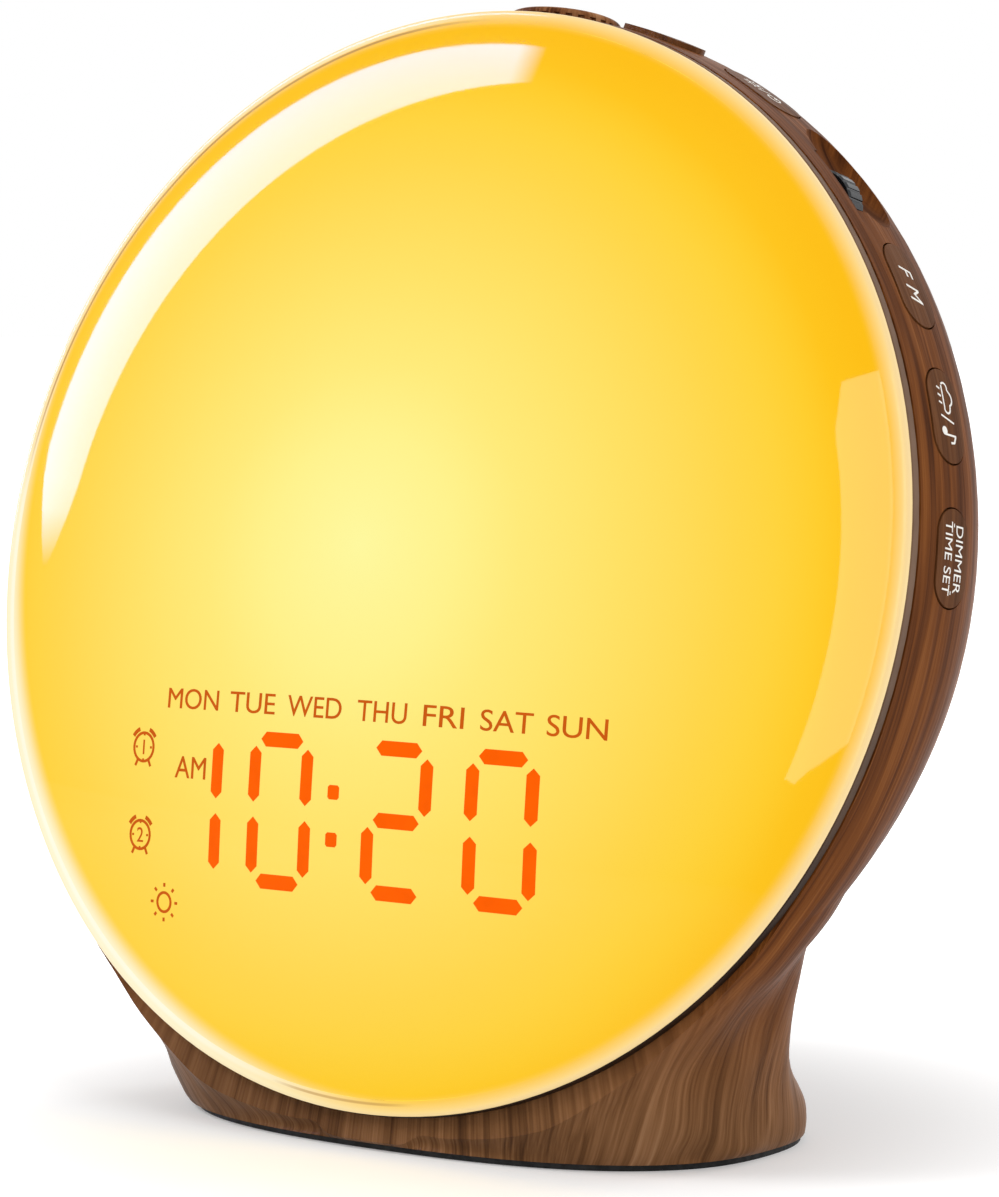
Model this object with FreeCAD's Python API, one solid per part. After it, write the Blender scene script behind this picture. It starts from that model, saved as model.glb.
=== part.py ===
import FreeCAD, Part
import math
import os

# Sunrise alarm clock: a glowing domed disc in a wood-look moulded housing
# Part frame: origin on the table under the middle of the foot, +Z up, front towards -Y
# Face frame: x to the right, y up the leaning disc, z out of its front, origin in the rim circle
# Lengths are millimetres, angles are degrees

# Driving sizes of the disc and its housing
DISC_LEAN = 11.7
DISC_CENTRE_BACK = -19.0
DISC_CENTRE_HEIGHT = 90.5
LENS_RADIUS = 86.0
DOME_RISE = 10.0
DOME_SPHERE_RADIUS = 357.0
DOME_WALL = 2.0
LENS_RING_WIDTH = 2.3
LENS_EDGE_DEPTH = 1.5
LENS_EDGE_ROUND = 0.5
BEZEL_DEPTH = 1.9
BEZEL_STEP_IN = 0.15
BEZEL_FLANGE_WIDTH = 6.0
BEZEL_SPIGOT_WALL = 1.8
BEZEL_SPIGOT_LENGTH = 2.4
BEZEL_CHAMFER = 0.25
HOUSING_FRONT_RADIUS = 86.3
HOUSING_WIDE_RADIUS = 87.1
HOUSING_WIDE_DEPTH = 14.5
SHOULDER_RADIUS = 16.0
SHOULDER_SWEEP = 60.0
LOWER_BACK_EASE = 11.0
HOUSING_WALL = 2.4
ROOM_TILT = 9.0
ROOM_LIFT = 2.2
ROOM_OVERLAP = 1.0
MOUTH_SEAT = 4.0

# Foot and neck: half width, front and back half depths, forward shift, height and
# how far the bowl's own outline is drawn in before the two are blended, level by level
FOOT_BOTTOM = 1.2
NECK_LEVELS = (
    (52.8, 31.8, 31.8, -1.6, FOOT_BOTTOM, 0.4),
    (54.0, 32.0, 32.0, -3.0, 4.5, 0.4),
    (54.0, 33.6, 29.7, -5.0, 10.0, 0.4),
    (55.5, 35.0, 22.6, -6.0, 17.0, 0.4),
    (57.6, 35.0, 20.8, -7.0, 24.0, 0.4),
    (60.8, 34.0, 19.2, -9.0, 31.0, 0.4),
    (63.2, 32.0, 17.0, -11.0, 38.0, 0.4),
    (62.5, 28.0, 14.5, -13.0, 45.0, 0.7),
    (62.0, 25.0, 11.0, -15.0, 52.0, 1.5),
    (60.0, 22.0, 8.0, -17.0, 59.0, 3.0),
    (56.0, 20.0, 6.0, -19.0, 67.0, 6.0),
)
NECK_ROUNDNESS = 2.5
NECK_BLEND = 14.0
NOSE_LENGTH = 30.0
FRONT_LEAD = 1.5
NECK_POINTS = 60
OUTLINE_POINTS = 24
PAD_HALF_WIDTH = 51.7
PAD_HALF_DEPTH = 31.0
BASE_PLATE_THICK = 2.2
BASE_PLATE_CLEARANCE = 0.2
BASE_POSTS = ((45.0, -4.0, 6.8, 0), (-45.0, -4.0, -6.8, 0), (24.0, 15.5, 0, 9.0), (-24.0, 15.5, 0, 9.0))
BASE_POST_RIB_HALF = 1.0
BASE_POST_RADIUS = 4.0
BASE_POST_TOP = 8.5
BASE_SCREW_RADIUS = 1.4
BASE_SCREW_HEAD_RADIUS = 2.9
BASE_SCREW_HEAD = 1.2
BASE_SCREW_LENGTH = 5.5

# Buttons round the band, by the angle clockwise from the top, seen from the front
BUTTON_PITCH = 14.0
BUTTON_LENGTH = 14.5
BUTTON_WIDTH = 8.0
BUTTON_DEPTH = 11.5
BUTTON_PROUD = 0.15
SNOOZE_PROUD = 0.8
BUTTON_GAP = 0.25
BUTTON_TRAVEL = 0.5
BUTTON_FLANGE_EXTRA = 1.1
BUTTON_FLANGE_THICK = 1.2
BUTTON_FLANGE_GAP = 0.35
BUTTON_STEM_RADIUS = 1.6
SNOOZE_ANGLE = 17.0
RIGHT_BUTTONS = (
    ("snooze_button", SNOOZE_ANGLE, SNOOZE_PROUD),
    ("light_colour_button", SNOOZE_ANGLE + BUTTON_PITCH, BUTTON_PROUD),
    ("fm_button", SNOOZE_ANGLE + 3 * BUTTON_PITCH, BUTTON_PROUD),
    ("sound_button", SNOOZE_ANGLE + 4 * BUTTON_PITCH, BUTTON_PROUD),
    ("dimmer_button", SNOOZE_ANGLE + 5 * BUTTON_PITCH, BUTTON_PROUD),
)
LEFT_BUTTONS = (
    ("alarm_one_button", -SNOOZE_ANGLE - 3 * BUTTON_PITCH, BUTTON_PROUD),
    ("alarm_two_button", -SNOOZE_ANGLE - 4 * BUTTON_PITCH, BUTTON_PROUD),
    ("sleep_button", -SNOOZE_ANGLE - 5 * BUTTON_PITCH, BUTTON_PROUD),
)

# Key boards behind the buttons, with side-push switches
KEY_BOARD_FRONT = 16.0
KEY_BOARD_THICK = 1.6
KEY_BOARD_INNER = 68.0
KEY_BOARD_OUTER = 81.8
KEY_BOARD_START = 9.0
KEY_BOARD_END = 95.0
KEY_SHELF_DEPTH = 2.4
KEY_SHELF_ANGLES = (24.0, 66.0, 80.5)
KEY_SHELF_SPREAD = 2.5
KEY_SHELF_INNER = 80.6
SWITCH_WIDTH = 6.0
SWITCH_BODY = 3.6
SWITCH_HEIGHT = 6.6
SWITCH_PLUNGER_RADIUS = 1.0
SWITCH_PLUNGER = 0.6
SWITCH_GAP = 0.6

# Thumbwheel for the volume, in a dished thumb scoop
WHEEL_ANGLE = 46.3
WHEEL_DEPTH = 10.6
WHEEL_RADIUS = 6.0
WHEEL_THICK = 3.8
WHEEL_TOP_RADIUS = 87.0
WHEEL_BORE = 1.25
WHEEL_RUNNING_GAP = 0.05
WHEEL_SLOT_GAP = 0.4
WHEEL_SLOT_FRONT = 6.9
WHEEL_NOTCHES = 24
WHEEL_NOTCH_RADIUS = 0.3
SCOOP_ANGLE = 44.8
SCOOP_DEPTH_PLACE = 12.6
SCOOP_HALF_LENGTH = 11.0
SCOOP_HALF_WIDTH = 5.3
SCOOP_DEEP = 3.0
SCOOP_WALL = 1.7
POT_WIDTH = 11.0
POT_HEIGHT = 9.0
POT_RISE = 1.0

# Ribbed light knob on the top of the band
KNOB_DEPTH = 20.0
KNOB_RADIUS = 9.0
KNOB_TOP = 90.1
KNOB_BOTTOM = 85.8
KNOB_CROWN = 0.7
KNOB_EDGE_ROUND = 0.8
KNOB_RIBS = 28
KNOB_GROOVE_RADIUS = 0.55
KNOB_SEAT_RADIUS = 10.0
KNOB_SEAT_ROOT = 75.0
KNOB_SEAT_GAP = 0.35
SHAFT_RADIUS = 3.0
SHAFT_GAP = 0.05
BUSHING_WALL = 0.9
BUSHING_GAP = 0.15
KNOB_BOSS_BOTTOM = 78.0
KNOB_BOSS_RADIUS = 6.6
ENCODER_WIDTH = 12.0
ENCODER_HEIGHT = 6.5
SHAFT_TOP_GAP = 2.0

# Reflector pan, light board, lamps and clock display
PAN_WALL = 1.5
PAN_FLANGE_RADIUS = 81.2
PAN_MOUTH_RADIUS = 78.5
PAN_FLOOR_RADIUS = 70.0
PAN_FLOOR_DEPTH = 10.5
LIGHT_BOARD_RADIUS = 66.0
LIGHT_BOARD_THICK = 1.2
LAMP_SIZE = 5.0
LAMP_HEIGHT = 1.4
LAMP_RINGS = ((0.0, 1), (26.0, 8), (52.0, 20))
DISPLAY_LEFT = -43.0
DISPLAY_RIGHT = 39.0
DISPLAY_BOTTOM = -54.0
DISPLAY_TOP = -22.0
DISPLAY_HEIGHT = 9.4
DISPLAY_WINDOW = 0.8
DIGIT_CENTRES = (-34.9, -16.3, 6.7, 25.6)
DIGIT_SHAPES = ("bc", "abcdef", "abged", "abcdef")
DIGIT_MIDDLE = -41.7
DIGIT_HALF_WIDTH = 5.3
DIGIT_ARM = 10.9
SEGMENT_WIDTH = 2.3
SEGMENT_GAP = 0.9
COLON_CENTRE = -5.3
COLON_SIZE = 2.2
COLON_OFFSET = 3.8

# Main board and its standoffs
MAIN_BOARD_HALF_WIDTH = 33.0
MAIN_BOARD_BOTTOM = -32.0
MAIN_BOARD_TOP = 18.0
MAIN_BOARD_FRONT = 18.0
MAIN_BOARD_THICK = 1.6
STANDOFF_RADIUS = 3.0
STANDOFF_INSET = 4.0
BOARD_SCREW_RADIUS = 1.2
BOARD_SCREW_HEAD_RADIUS = 2.4
BOARD_SCREW_HEAD = 1.6
BOARD_SCREW_LENGTH = 4.5
CHIPS = ((-14.0, -10.0, 14.0, 14.0, 1.6), (12.0, -20.0, 9.0, 7.0, 2.4), (18.0, 4.0, 6.0, 12.0, 3.0),
         (-22.0, 8.0, 7.0, 5.0, 4.0), (2.0, -24.0, 5.0, 4.0, 1.2))

# Long screws from the back through posts into the pan
POST_CIRCLE_RADIUS = 60.0
POST_RADIUS = 4.8
POST_HEAD_HOLE = 3.2
POST_SCREW_HOLE = 1.6
POST_SHOULDER_DEPTH = 22.0
LONG_SCREW_RADIUS = 1.5
LONG_SCREW_HEAD_RADIUS = 2.8
LONG_SCREW_HEAD = 2.0

# Speaker behind the back grille
SPEAKER_HEIGHT = 20.0
SPEAKER_RADIUS = 20.0
SPEAKER_SEAT_DEPTH = 40.6
SPEAKER_SEAT_WALL = 2.6
SPEAKER_FLANGE = 1.2
SPEAKER_BASKET_WALL = 1.0
SPEAKER_BASKET_DEPTH = 6.5
SPEAKER_MAGNET_RADIUS = 11.5
SPEAKER_MAGNET_LENGTH = 6.5
SPEAKER_CONE_WALL = 0.5
GRILLE_PITCH = 4.6
GRILLE_HOLE_RADIUS = 1.15
GRILLE_RINGS = 3

# Coin cell bay with its hinged door
BAY_HEIGHT = -20.0
DOOR_WIDTH = 26.0
DOOR_LENGTH = 25.0
DOOR_CORNER = 1.2
DOOR_THICK = 2.8
DOOR_GAP = 0.25
DOOR_BARREL_RADIUS = 0.9
NAIL_NOTCH_RADIUS = 3.0
NAIL_NOTCH_DEPTH = 1.6
CELL_RADIUS = 10.0
CELL_THICK = 3.2
CELL_GAP = 0.3
BAY_WALL = 1.4
CONTACT_THICK = 0.3

# Power inlet and charging port on the back
PORT_SIDE = 29.0
PORT_HEIGHT = -24.0
PORT_SEAT_DEPTH = 38.5
PORT_BACK_DEPTH = 28.0
INLET_RECESS_RADIUS = 6.4
INLET_TUBE_RADIUS = 4.0
INLET_BORE_RADIUS = 2.75
INLET_PIN_RADIUS = 1.0
INLET_BODY = 11.0
PORT_FACE_DEPTH = 41.4
PORT_HOLE_GAP = 0.3
CHARGE_SHELL_WIDTH = 13.2
CHARGE_SHELL_HEIGHT = 5.8
CHARGE_SHELL_WALL = 0.4
CHARGE_TONGUE = 1.9
CHARGE_RECESS_EXTRA = 1.6
CHARGE_BODY_EXTRA = 0.8
PORT_BOSS_WALL = 3.0
PORT_BOARD_THICK = 1.6

# Values worked out from the driving sizes
RIM_DEPTH = LENS_EDGE_DEPTH + BEZEL_DEPTH
SWEEP = math.radians(SHOULDER_SWEEP)
BACK_RADIUS = (HOUSING_WIDE_RADIUS - SHOULDER_RADIUS) / math.cos(SWEEP) + SHOULDER_RADIUS
BACK_CENTRE = (BACK_RADIUS - SHOULDER_RADIUS) * math.sin(SWEEP) - HOUSING_WIDE_DEPTH
SPIGOT_RADIUS = HOUSING_FRONT_RADIUS - HOUSING_WALL - BASE_PLATE_CLEARANCE
BEZEL_RADIUS = HOUSING_FRONT_RADIUS - BEZEL_STEP_IN
BEZEL_INNER_RADIUS = BEZEL_RADIUS - BEZEL_FLANGE_WIDTH
PAN_BACK = PAN_FLOOR_DEPTH + PAN_WALL
INNER_BAND_RADIUS = HOUSING_WIDE_RADIUS - HOUSING_WALL
KEY_BOARD_BACK = KEY_BOARD_FRONT + KEY_BOARD_THICK
BASE_PLATE_TOP = FOOT_BOTTOM + BASE_PLATE_THICK
RING_POINTS = 36
LARGE = 400.0
SEAM_TOLERANCE = 0.0001

VEC = FreeCAD.Vector
UP = VEC(0, 0, 1)
FACE_FRAME = FreeCAD.Placement(
    VEC(0, DISC_CENTRE_BACK, DISC_CENTRE_HEIGHT),
    FreeCAD.Rotation(VEC(1, 0, 0), 90 - DISC_LEAN),
)


def on_face(shape):
    """Moves a shape drawn in the face frame to its place in the part."""
    moved = shape.copy()
    moved.Placement = FACE_FRAME.multiply(moved.Placement)
    return moved


def round_band(shape, angle):
    """Turns a shape drawn at the top of the disc clockwise round the band."""
    turned = shape.copy()
    turn = FreeCAD.Placement(VEC(0, 0, 0), FreeCAD.Rotation(UP, -angle))
    turned.Placement = turn.multiply(turned.Placement)
    return turned


def revolve(points):
    """Solid of revolution about the disc's axis from radius and depth pairs."""
    wire = Part.makePolygon([VEC(r, 0, w) for r, w in points + points[:1]])
    return Part.Face(wire).revolve(VEC(0, 0, 0), UP, 360)


def cylinder(radius, low, high, x=0.0, y=0.0):
    return Part.makeCylinder(radius, high - low, VEC(x, y, low), UP)


def tube(outer, inner, low, high, x=0.0, y=0.0):
    return cylinder(outer, low, high, x, y).cut(cylinder(inner, low, high, x, y))


def box(x_low, x_high, y_low, y_high, z_low, z_high):
    return Part.makeBox(x_high - x_low, y_high - y_low, z_high - z_low, VEC(x_low, y_low, z_low))


def periodic_wire(points):
    curve = Part.BSplineCurve()
    stations = [index / len(points) for index in range(len(points) + 1)]
    curve.interpolate(points, PeriodicFlag=True, Parameters=stations)
    return Part.Wire(curve.toShape())


def fuse_all(shapes):
    joined = shapes[0].multiFuse(shapes[1:]) if len(shapes) > 1 else shapes[0]
    return joined.removeSplitter()


def band_profile(offset, lead):
    """Radius, depth and easing share of each ring of the housing's skin, from rim to back."""
    drop = HOUSING_WIDE_RADIUS - HOUSING_FRONT_RADIUS
    run = HOUSING_WIDE_DEPTH - RIM_DEPTH
    bulge_radius = (drop ** 2 + run ** 2) / (2 * drop)
    bulge_centre = HOUSING_WIDE_RADIUS - bulge_radius
    shoulder_centre = HOUSING_WIDE_RADIUS - SHOULDER_RADIUS
    rings = []
    front_steps = 4
    for step in range(front_steps):
        depth = RIM_DEPTH - lead + (run + lead) * step / front_steps
        radius = bulge_centre + math.sqrt((bulge_radius + offset) ** 2 - (HOUSING_WIDE_DEPTH - depth) ** 2)
        rings.append((radius, -depth, max(0.0, (depth - RIM_DEPTH) / run)))
    shoulder_steps = 4
    for step in range(shoulder_steps + 1):
        turn = SWEEP * step / shoulder_steps
        reach = SHOULDER_RADIUS + offset
        rings.append((shoulder_centre + reach * math.cos(turn),
                      -HOUSING_WIDE_DEPTH - reach * math.sin(turn), 1.0))
    back_steps = 5
    pole_gap = 0.25
    for step in range(1, back_steps + 1):
        turn = (math.pi / 2 - SWEEP) * (1 - step / (back_steps + pole_gap))
        reach = BACK_RADIUS + offset
        share = 1.0 if step < back_steps else 0.0
        rings.append((reach * math.sin(turn), BACK_CENTRE - reach * math.cos(turn), share))
    return rings


def lower_ease(height):
    """How far the back comes forward below the disc's middle, towards the neck."""
    share = min(max(-height / HOUSING_WIDE_RADIUS, 0.0), 1.0)
    return LOWER_BACK_EASE * (1 - math.cos(math.pi * share)) / 2


def bowl(offset, lead=0.0):
    """The round part of the housing as one smooth skin; offset grows or shrinks it."""
    profile = band_profile(offset, lead)
    spans = [0.0]
    for (radius, depth, share), (next_radius, next_depth, next_share) in zip(profile, profile[1:]):
        spans.append(spans[-1] + math.hypot(next_radius - radius, next_depth - depth))
    columns = []
    swell = 3 / (2 + math.cos(2 * math.pi / RING_POINTS))
    for index in range(RING_POINTS):
        turn = 2 * math.pi * index / RING_POINTS
        points = []
        for radius, depth, share in profile:
            height = radius * math.cos(turn)
            points.append(VEC(radius * math.sin(turn), height, depth + share * lower_ease(height)))
        curve = Part.BSplineCurve()
        curve.interpolate(points, Parameters=spans)
        columns.append([VEC(pole.x * swell, pole.y * swell, pole.z) for pole in curve.getPoles()])
    skin = Part.BSplineSurface()
    ring_knots = [float(index) for index in range(RING_POINTS + 1)]
    skin.buildFromPolesMultsKnots(columns, [1] * (RING_POINTS + 1), curve.getMultiplicities(), ring_knots,
                                  curve.getKnots(), True, False, 3, 3)
    side = skin.toShape()
    rings = sorted((edge for edge in side.Edges if edge.isClosed()), key=lambda edge: edge.Length)
    faces = [side, Part.Face(Part.Wire([rings[-1]])), Part.Face(Part.Wire([rings[0]]))]
    solid = Part.Solid(Part.makeShell(faces))
    solid.fix(SEAM_TOLERANCE, SEAM_TOLERANCE, SEAM_TOLERANCE)
    return on_face(solid)


def back_depth(height, offset=0.0):
    """Depth of the housing's back on its middle line, at a height on the disc."""
    reach = BACK_RADIUS + offset
    return BACK_CENTRE - math.sqrt(reach ** 2 - height ** 2) + lower_ease(height)


def skin_radius(depth, offset):
    """Radius of the bowl's skin at a depth, with a blunt nose in front of the rim."""
    drop = HOUSING_WIDE_RADIUS - HOUSING_FRONT_RADIUS
    run = HOUSING_WIDE_DEPTH - RIM_DEPTH
    bulge_radius = (drop ** 2 + run ** 2) / (2 * drop)
    bulge_centre = HOUSING_WIDE_RADIUS - bulge_radius
    if depth < RIM_DEPTH:
        rim_radius = bulge_centre + math.sqrt((bulge_radius + offset) ** 2 - run ** 2)
        return rim_radius * math.sqrt(max(0.0, 1 - ((RIM_DEPTH - depth) / NOSE_LENGTH) ** 2))
    if depth < HOUSING_WIDE_DEPTH:
        return bulge_centre + math.sqrt((bulge_radius + offset) ** 2 - (HOUSING_WIDE_DEPTH - depth) ** 2)
    reach = SHOULDER_RADIUS + offset
    if depth < HOUSING_WIDE_DEPTH + reach * math.sin(SWEEP):
        shoulder_centre = HOUSING_WIDE_RADIUS - SHOULDER_RADIUS
        return shoulder_centre + math.sqrt(reach ** 2 - (depth - HOUSING_WIDE_DEPTH) ** 2)
    return math.sqrt(max(0.0, (BACK_RADIUS + offset) ** 2 - (BACK_CENTRE + depth) ** 2))


def inside_bowl(x, y, z, offset):
    spot = FACE_FRAME.inverse().multVec(VEC(x, y, z))
    ease = lower_ease(spot.y)
    run = HOUSING_WIDE_DEPTH - RIM_DEPTH
    depth = -spot.z
    if depth >= HOUSING_WIDE_DEPTH - ease:
        depth = depth + ease
    elif depth > RIM_DEPTH:
        depth = RIM_DEPTH + (depth - RIM_DEPTH) / (1 - ease / run)
    return math.hypot(spot.x, spot.y) < skin_radius(depth, offset)


def bowl_reach(across, along, shift, level, offset):
    """Level distance from the neck's middle to the bowl's skin, in one direction."""
    step = 1.0
    far = 2 * HOUSING_WIDE_RADIUS
    near = far - step
    while near > 0 and not inside_bowl(across * near, shift + along * near, level, offset):
        far = near
        near = near - step
    if near <= 0:
        return 0.0
    halvings = 20
    for index in range(halvings):
        middle = (near + far) / 2
        if inside_bowl(across * middle, shift + along * middle, level, offset):
            near = middle
        else:
            far = middle
    return near


def smooth_max(first, second):
    """The larger of two lengths, rounded over where they are nearly equal."""
    share = max(NECK_BLEND - abs(first - second), 0.0) / NECK_BLEND
    return max(first, second) + share ** 2 * NECK_BLEND / 4


def foot_wire(half_width, half_front, half_back, shift, level, offset, draw_in=None):
    """Outline at one height: a rounded oblong, blended into the bowl where draw_in is given."""
    points = []
    power = NECK_ROUNDNESS
    count = OUTLINE_POINTS if draw_in is None else NECK_POINTS
    for index in range(count):
        turn = 2 * math.pi * index / count - math.pi / 2
        across, along = math.cos(turn), math.sin(turn)
        half_depth = (half_back if along > 0 else half_front) + offset
        stretch = abs(across / (half_width + offset)) ** power + abs(along / half_depth) ** power
        reach = stretch ** (-1 / power)
        if draw_in is not None:
            bowl_side = bowl_reach(across, along, shift, level, offset)
            if bowl_side > 0:
                reach = smooth_max(reach, bowl_side - draw_in)
        points.append(VEC(across * reach, shift + along * reach, level))
    return periodic_wire(points)


def neck(offset, blended):
    """The foot and neck, from the table to inside the bowl."""
    wires = []
    for level in NECK_LEVELS:
        draw_in = level[5] if blended else None
        wires.append(foot_wire(*level[:5], offset, draw_in))
    return Part.makeLoft(wires, True, False)


def behind_plane(depth):
    """Everything behind a plane parallel to the disc."""
    return on_face(box(-LARGE, LARGE, -LARGE, LARGE, -depth - LARGE, -depth))


def outer_body():
    """The housing's outside: the bowl and the neck that flows into it."""
    body = bowl(0.0, FRONT_LEAD).fuse(neck(0.0, True))
    return body.common(behind_plane(RIM_DEPTH)).removeSplitter()


def room_form():
    """Hollow of revolution one wall inside the bowl's skin, open to the front."""
    centre = HOUSING_WIDE_RADIUS - SHOULDER_RADIUS
    reach = SHOULDER_RADIUS - HOUSING_WALL
    back = BACK_RADIUS - HOUSING_WALL
    mouth = HOUSING_FRONT_RADIUS - HOUSING_WALL
    ahead = 2 * HOUSING_WIDE_DEPTH
    low = math.pi / 2 - SWEEP

    def shoulder(turn):
        return VEC(centre + reach * math.cos(turn), 0, -HOUSING_WIDE_DEPTH - reach * math.sin(turn))

    def rear(turn):
        return VEC(back * math.sin(turn), 0, BACK_CENTRE - back * math.cos(turn))

    edges = [
        Part.LineSegment(VEC(0, 0, ahead), VEC(mouth, 0, ahead)).toShape(),
        Part.LineSegment(VEC(mouth, 0, ahead), VEC(mouth, 0, -RIM_DEPTH)).toShape(),
        Part.LineSegment(VEC(mouth, 0, -RIM_DEPTH), VEC(INNER_BAND_RADIUS, 0, -HOUSING_WIDE_DEPTH)).toShape(),
        Part.Arc(shoulder(0), shoulder(SWEEP / 2), shoulder(SWEEP)).toShape(),
        Part.Arc(rear(low), rear(low / 2), rear(0)).toShape(),
        Part.LineSegment(rear(0), VEC(0, 0, ahead)).toShape(),
    ]
    return Part.Face(Part.Wire(edges)).revolve(VEC(0, 0, 0), UP, 360)


def inner_space():
    """The bowl's room, and all the hollows that open the housing to its mouth and foot."""
    upper = room_form().common(box(-LARGE, LARGE, 0, LARGE, -LARGE, LARGE))
    leaning = room_form()
    leaning.rotate(VEC(0, 0, 0), VEC(1, 0, 0), -ROOM_TILT)
    leaning.translate(VEC(0, ROOM_LIFT, 0))
    lower = leaning.common(box(-LARGE, LARGE, -LARGE, ROOM_OVERLAP, -LARGE, LARGE))
    mouth = cylinder(HOUSING_FRONT_RADIUS - HOUSING_WALL, -RIM_DEPTH - MOUTH_SEAT, LARGE / 4)
    throat = neck(-HOUSING_WALL, False).common(behind_plane(RIM_DEPTH + HOUSING_WALL))
    foot = Part.Face(foot_wire(*NECK_LEVELS[0][:4], 0.0, -HOUSING_WALL)).extrude(VEC(0, 0, BASE_PLATE_TOP))
    upper, lower, mouth = on_face(upper), on_face(lower), on_face(mouth)
    return upper.fuse(lower), [upper, lower, mouth, throat, foot]


def stadium(length, width, low, high, depth):
    """Upright stadium prism at the top of the disc, long side across, between two radii."""
    reach = (length - width) / 2
    half = width / 2
    centre_low, centre_high = VEC(-reach, low, -depth), VEC(reach, low, -depth)
    edges = [
        Part.LineSegment(centre_low + VEC(0, 0, half), centre_high + VEC(0, 0, half)).toShape(),
        Part.Arc(centre_high + VEC(0, 0, half), centre_high + VEC(half, 0, 0),
                 centre_high - VEC(0, 0, half)).toShape(),
        Part.LineSegment(centre_high - VEC(0, 0, half), centre_low - VEC(0, 0, half)).toShape(),
        Part.Arc(centre_low - VEC(0, 0, half), centre_low - VEC(half, 0, 0),
                 centre_low + VEC(0, 0, half)).toShape(),
    ]
    return Part.Face(Part.Wire(edges)).extrude(VEC(0, high - low, 0))


def standing_cylinder(radius, low, high, depth, across=0.0):
    """Cylinder along the radius at the top of the disc."""
    return Part.makeCylinder(radius, high - low, VEC(across, low, -depth), VEC(0, 1, 0))


def flange_top():
    """Radius of the flat top of a button's flange, clear of the curved wall over it."""
    half = BUTTON_LENGTH / 2 + BUTTON_FLANGE_EXTRA
    return math.sqrt(INNER_BAND_RADIUS ** 2 - half ** 2) - BUTTON_FLANGE_GAP


def stem_end():
    return flange_top() - BUTTON_FLANGE_THICK - 1.0


def button(angle, proud):
    """Button cap that follows the band, with its flange and stem behind the wall."""
    reach = LARGE / 4
    cap = stadium(BUTTON_LENGTH, BUTTON_WIDTH, flange_top(), reach, BUTTON_DEPTH)
    cap = on_face(round_band(cap, angle)).common(bowl(proud))
    extra = 2 * BUTTON_FLANGE_EXTRA
    flange = stadium(BUTTON_LENGTH + extra, BUTTON_WIDTH + extra,
                     flange_top() - BUTTON_FLANGE_THICK, flange_top(), BUTTON_DEPTH)
    stem = standing_cylinder(BUTTON_STEM_RADIUS, stem_end(), flange_top(), BUTTON_DEPTH)
    return fuse_all([cap, on_face(round_band(flange, angle)), on_face(round_band(stem, angle))])


def button_hole(angle):
    gap = 2 * BUTTON_GAP
    hole = stadium(BUTTON_LENGTH + gap, BUTTON_WIDTH + gap, INNER_BAND_RADIUS - HOUSING_WALL,
                   HOUSING_WIDE_RADIUS + HOUSING_WALL, BUTTON_DEPTH)
    return on_face(round_band(hole, angle))


def switch(angle):
    """Side-push switch on the key board, its plunger under the button's stem."""
    tip = stem_end() - SWITCH_GAP
    top = tip - SWITCH_PLUNGER
    body = box(-SWITCH_WIDTH / 2, SWITCH_WIDTH / 2, top - SWITCH_BODY, top,
               -KEY_BOARD_FRONT, -KEY_BOARD_FRONT + SWITCH_HEIGHT)
    plunger = standing_cylinder(SWITCH_PLUNGER_RADIUS, top, tip, BUTTON_DEPTH)
    return on_face(round_band(fuse_all([body, plunger]), angle))


def ring_sector(inner, outer, start, end, low, high):
    """Flat piece of a ring between two angles clockwise from the top."""
    sector = Part.makeCylinder(outer, high - low, VEC(0, 0, low), UP, end - start)
    sector = sector.cut(cylinder(inner, low, high))
    turned = FreeCAD.Placement(VEC(0, 0, 0), FreeCAD.Rotation(UP, 90 - end))
    sector.Placement = turned.multiply(sector.Placement)
    return sector


def ellipsoid(half_length, half_height, half_width, centre_radius, depth):
    """Dished form at the top of the disc, long side across the band's width."""
    ball = Part.makeSphere(1.0)
    matrix = FreeCAD.Matrix()
    matrix.scale(half_length, half_height, half_width)
    ball = ball.transformGeometry(matrix)
    ball.translate(VEC(0, centre_radius, -depth))
    return ball


def wheel_centre():
    return WHEEL_TOP_RADIUS - WHEEL_RADIUS


def post_places():
    for quarter in range(4):
        turn = math.radians(45 + 90 * quarter)
        yield POST_CIRCLE_RADIUS * math.cos(turn), POST_CIRCLE_RADIUS * math.sin(turn)


def standoff_places():
    side = MAIN_BOARD_HALF_WIDTH - STANDOFF_INSET
    for height in (MAIN_BOARD_BOTTOM + STANDOFF_INSET, MAIN_BOARD_TOP - STANDOFF_INSET):
        yield -side, height
        yield side, height


def grille_places():
    yield 0.0, SPEAKER_HEIGHT
    for ring in range(1, GRILLE_RINGS + 1):
        count = 6 * ring
        for index in range(count):
            turn = 2 * math.pi * index / count
            yield (ring * GRILLE_PITCH * math.cos(turn),
                   SPEAKER_HEIGHT + ring * GRILLE_PITCH * math.sin(turn))


def bay_frame():
    """Frame of the coin cell bay: z out of the back, y down along it, origin on the skin."""
    step = 0.5
    low, high = back_depth(BAY_HEIGHT - step), back_depth(BAY_HEIGHT + step)
    tilt = math.degrees(math.atan2(high - low, 2 * step))
    place = FreeCAD.Placement(VEC(0, BAY_HEIGHT, back_depth(BAY_HEIGHT)),
                              FreeCAD.Rotation(VEC(1, 0, 0), 180 + tilt))
    return FACE_FRAME.multiply(place)


def in_bay(shape):
    moved = shape.copy()
    moved.Placement = bay_frame().multiply(moved.Placement)
    return moved


def rounded_plate(width, length, corner, low, high):
    plate = box(-width / 2, width / 2, -length / 2, length / 2, low, high)
    upright = [edge for edge in plate.Edges if abs(edge.BoundBox.ZLength - (high - low)) < 1e-6]
    return plate.makeFillet(corner, upright)


def cell_floor():
    """Depth of the bay's floor under the door's skin."""
    return DOOR_THICK + CELL_GAP + CELL_THICK + 2 * CONTACT_THICK


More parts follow.
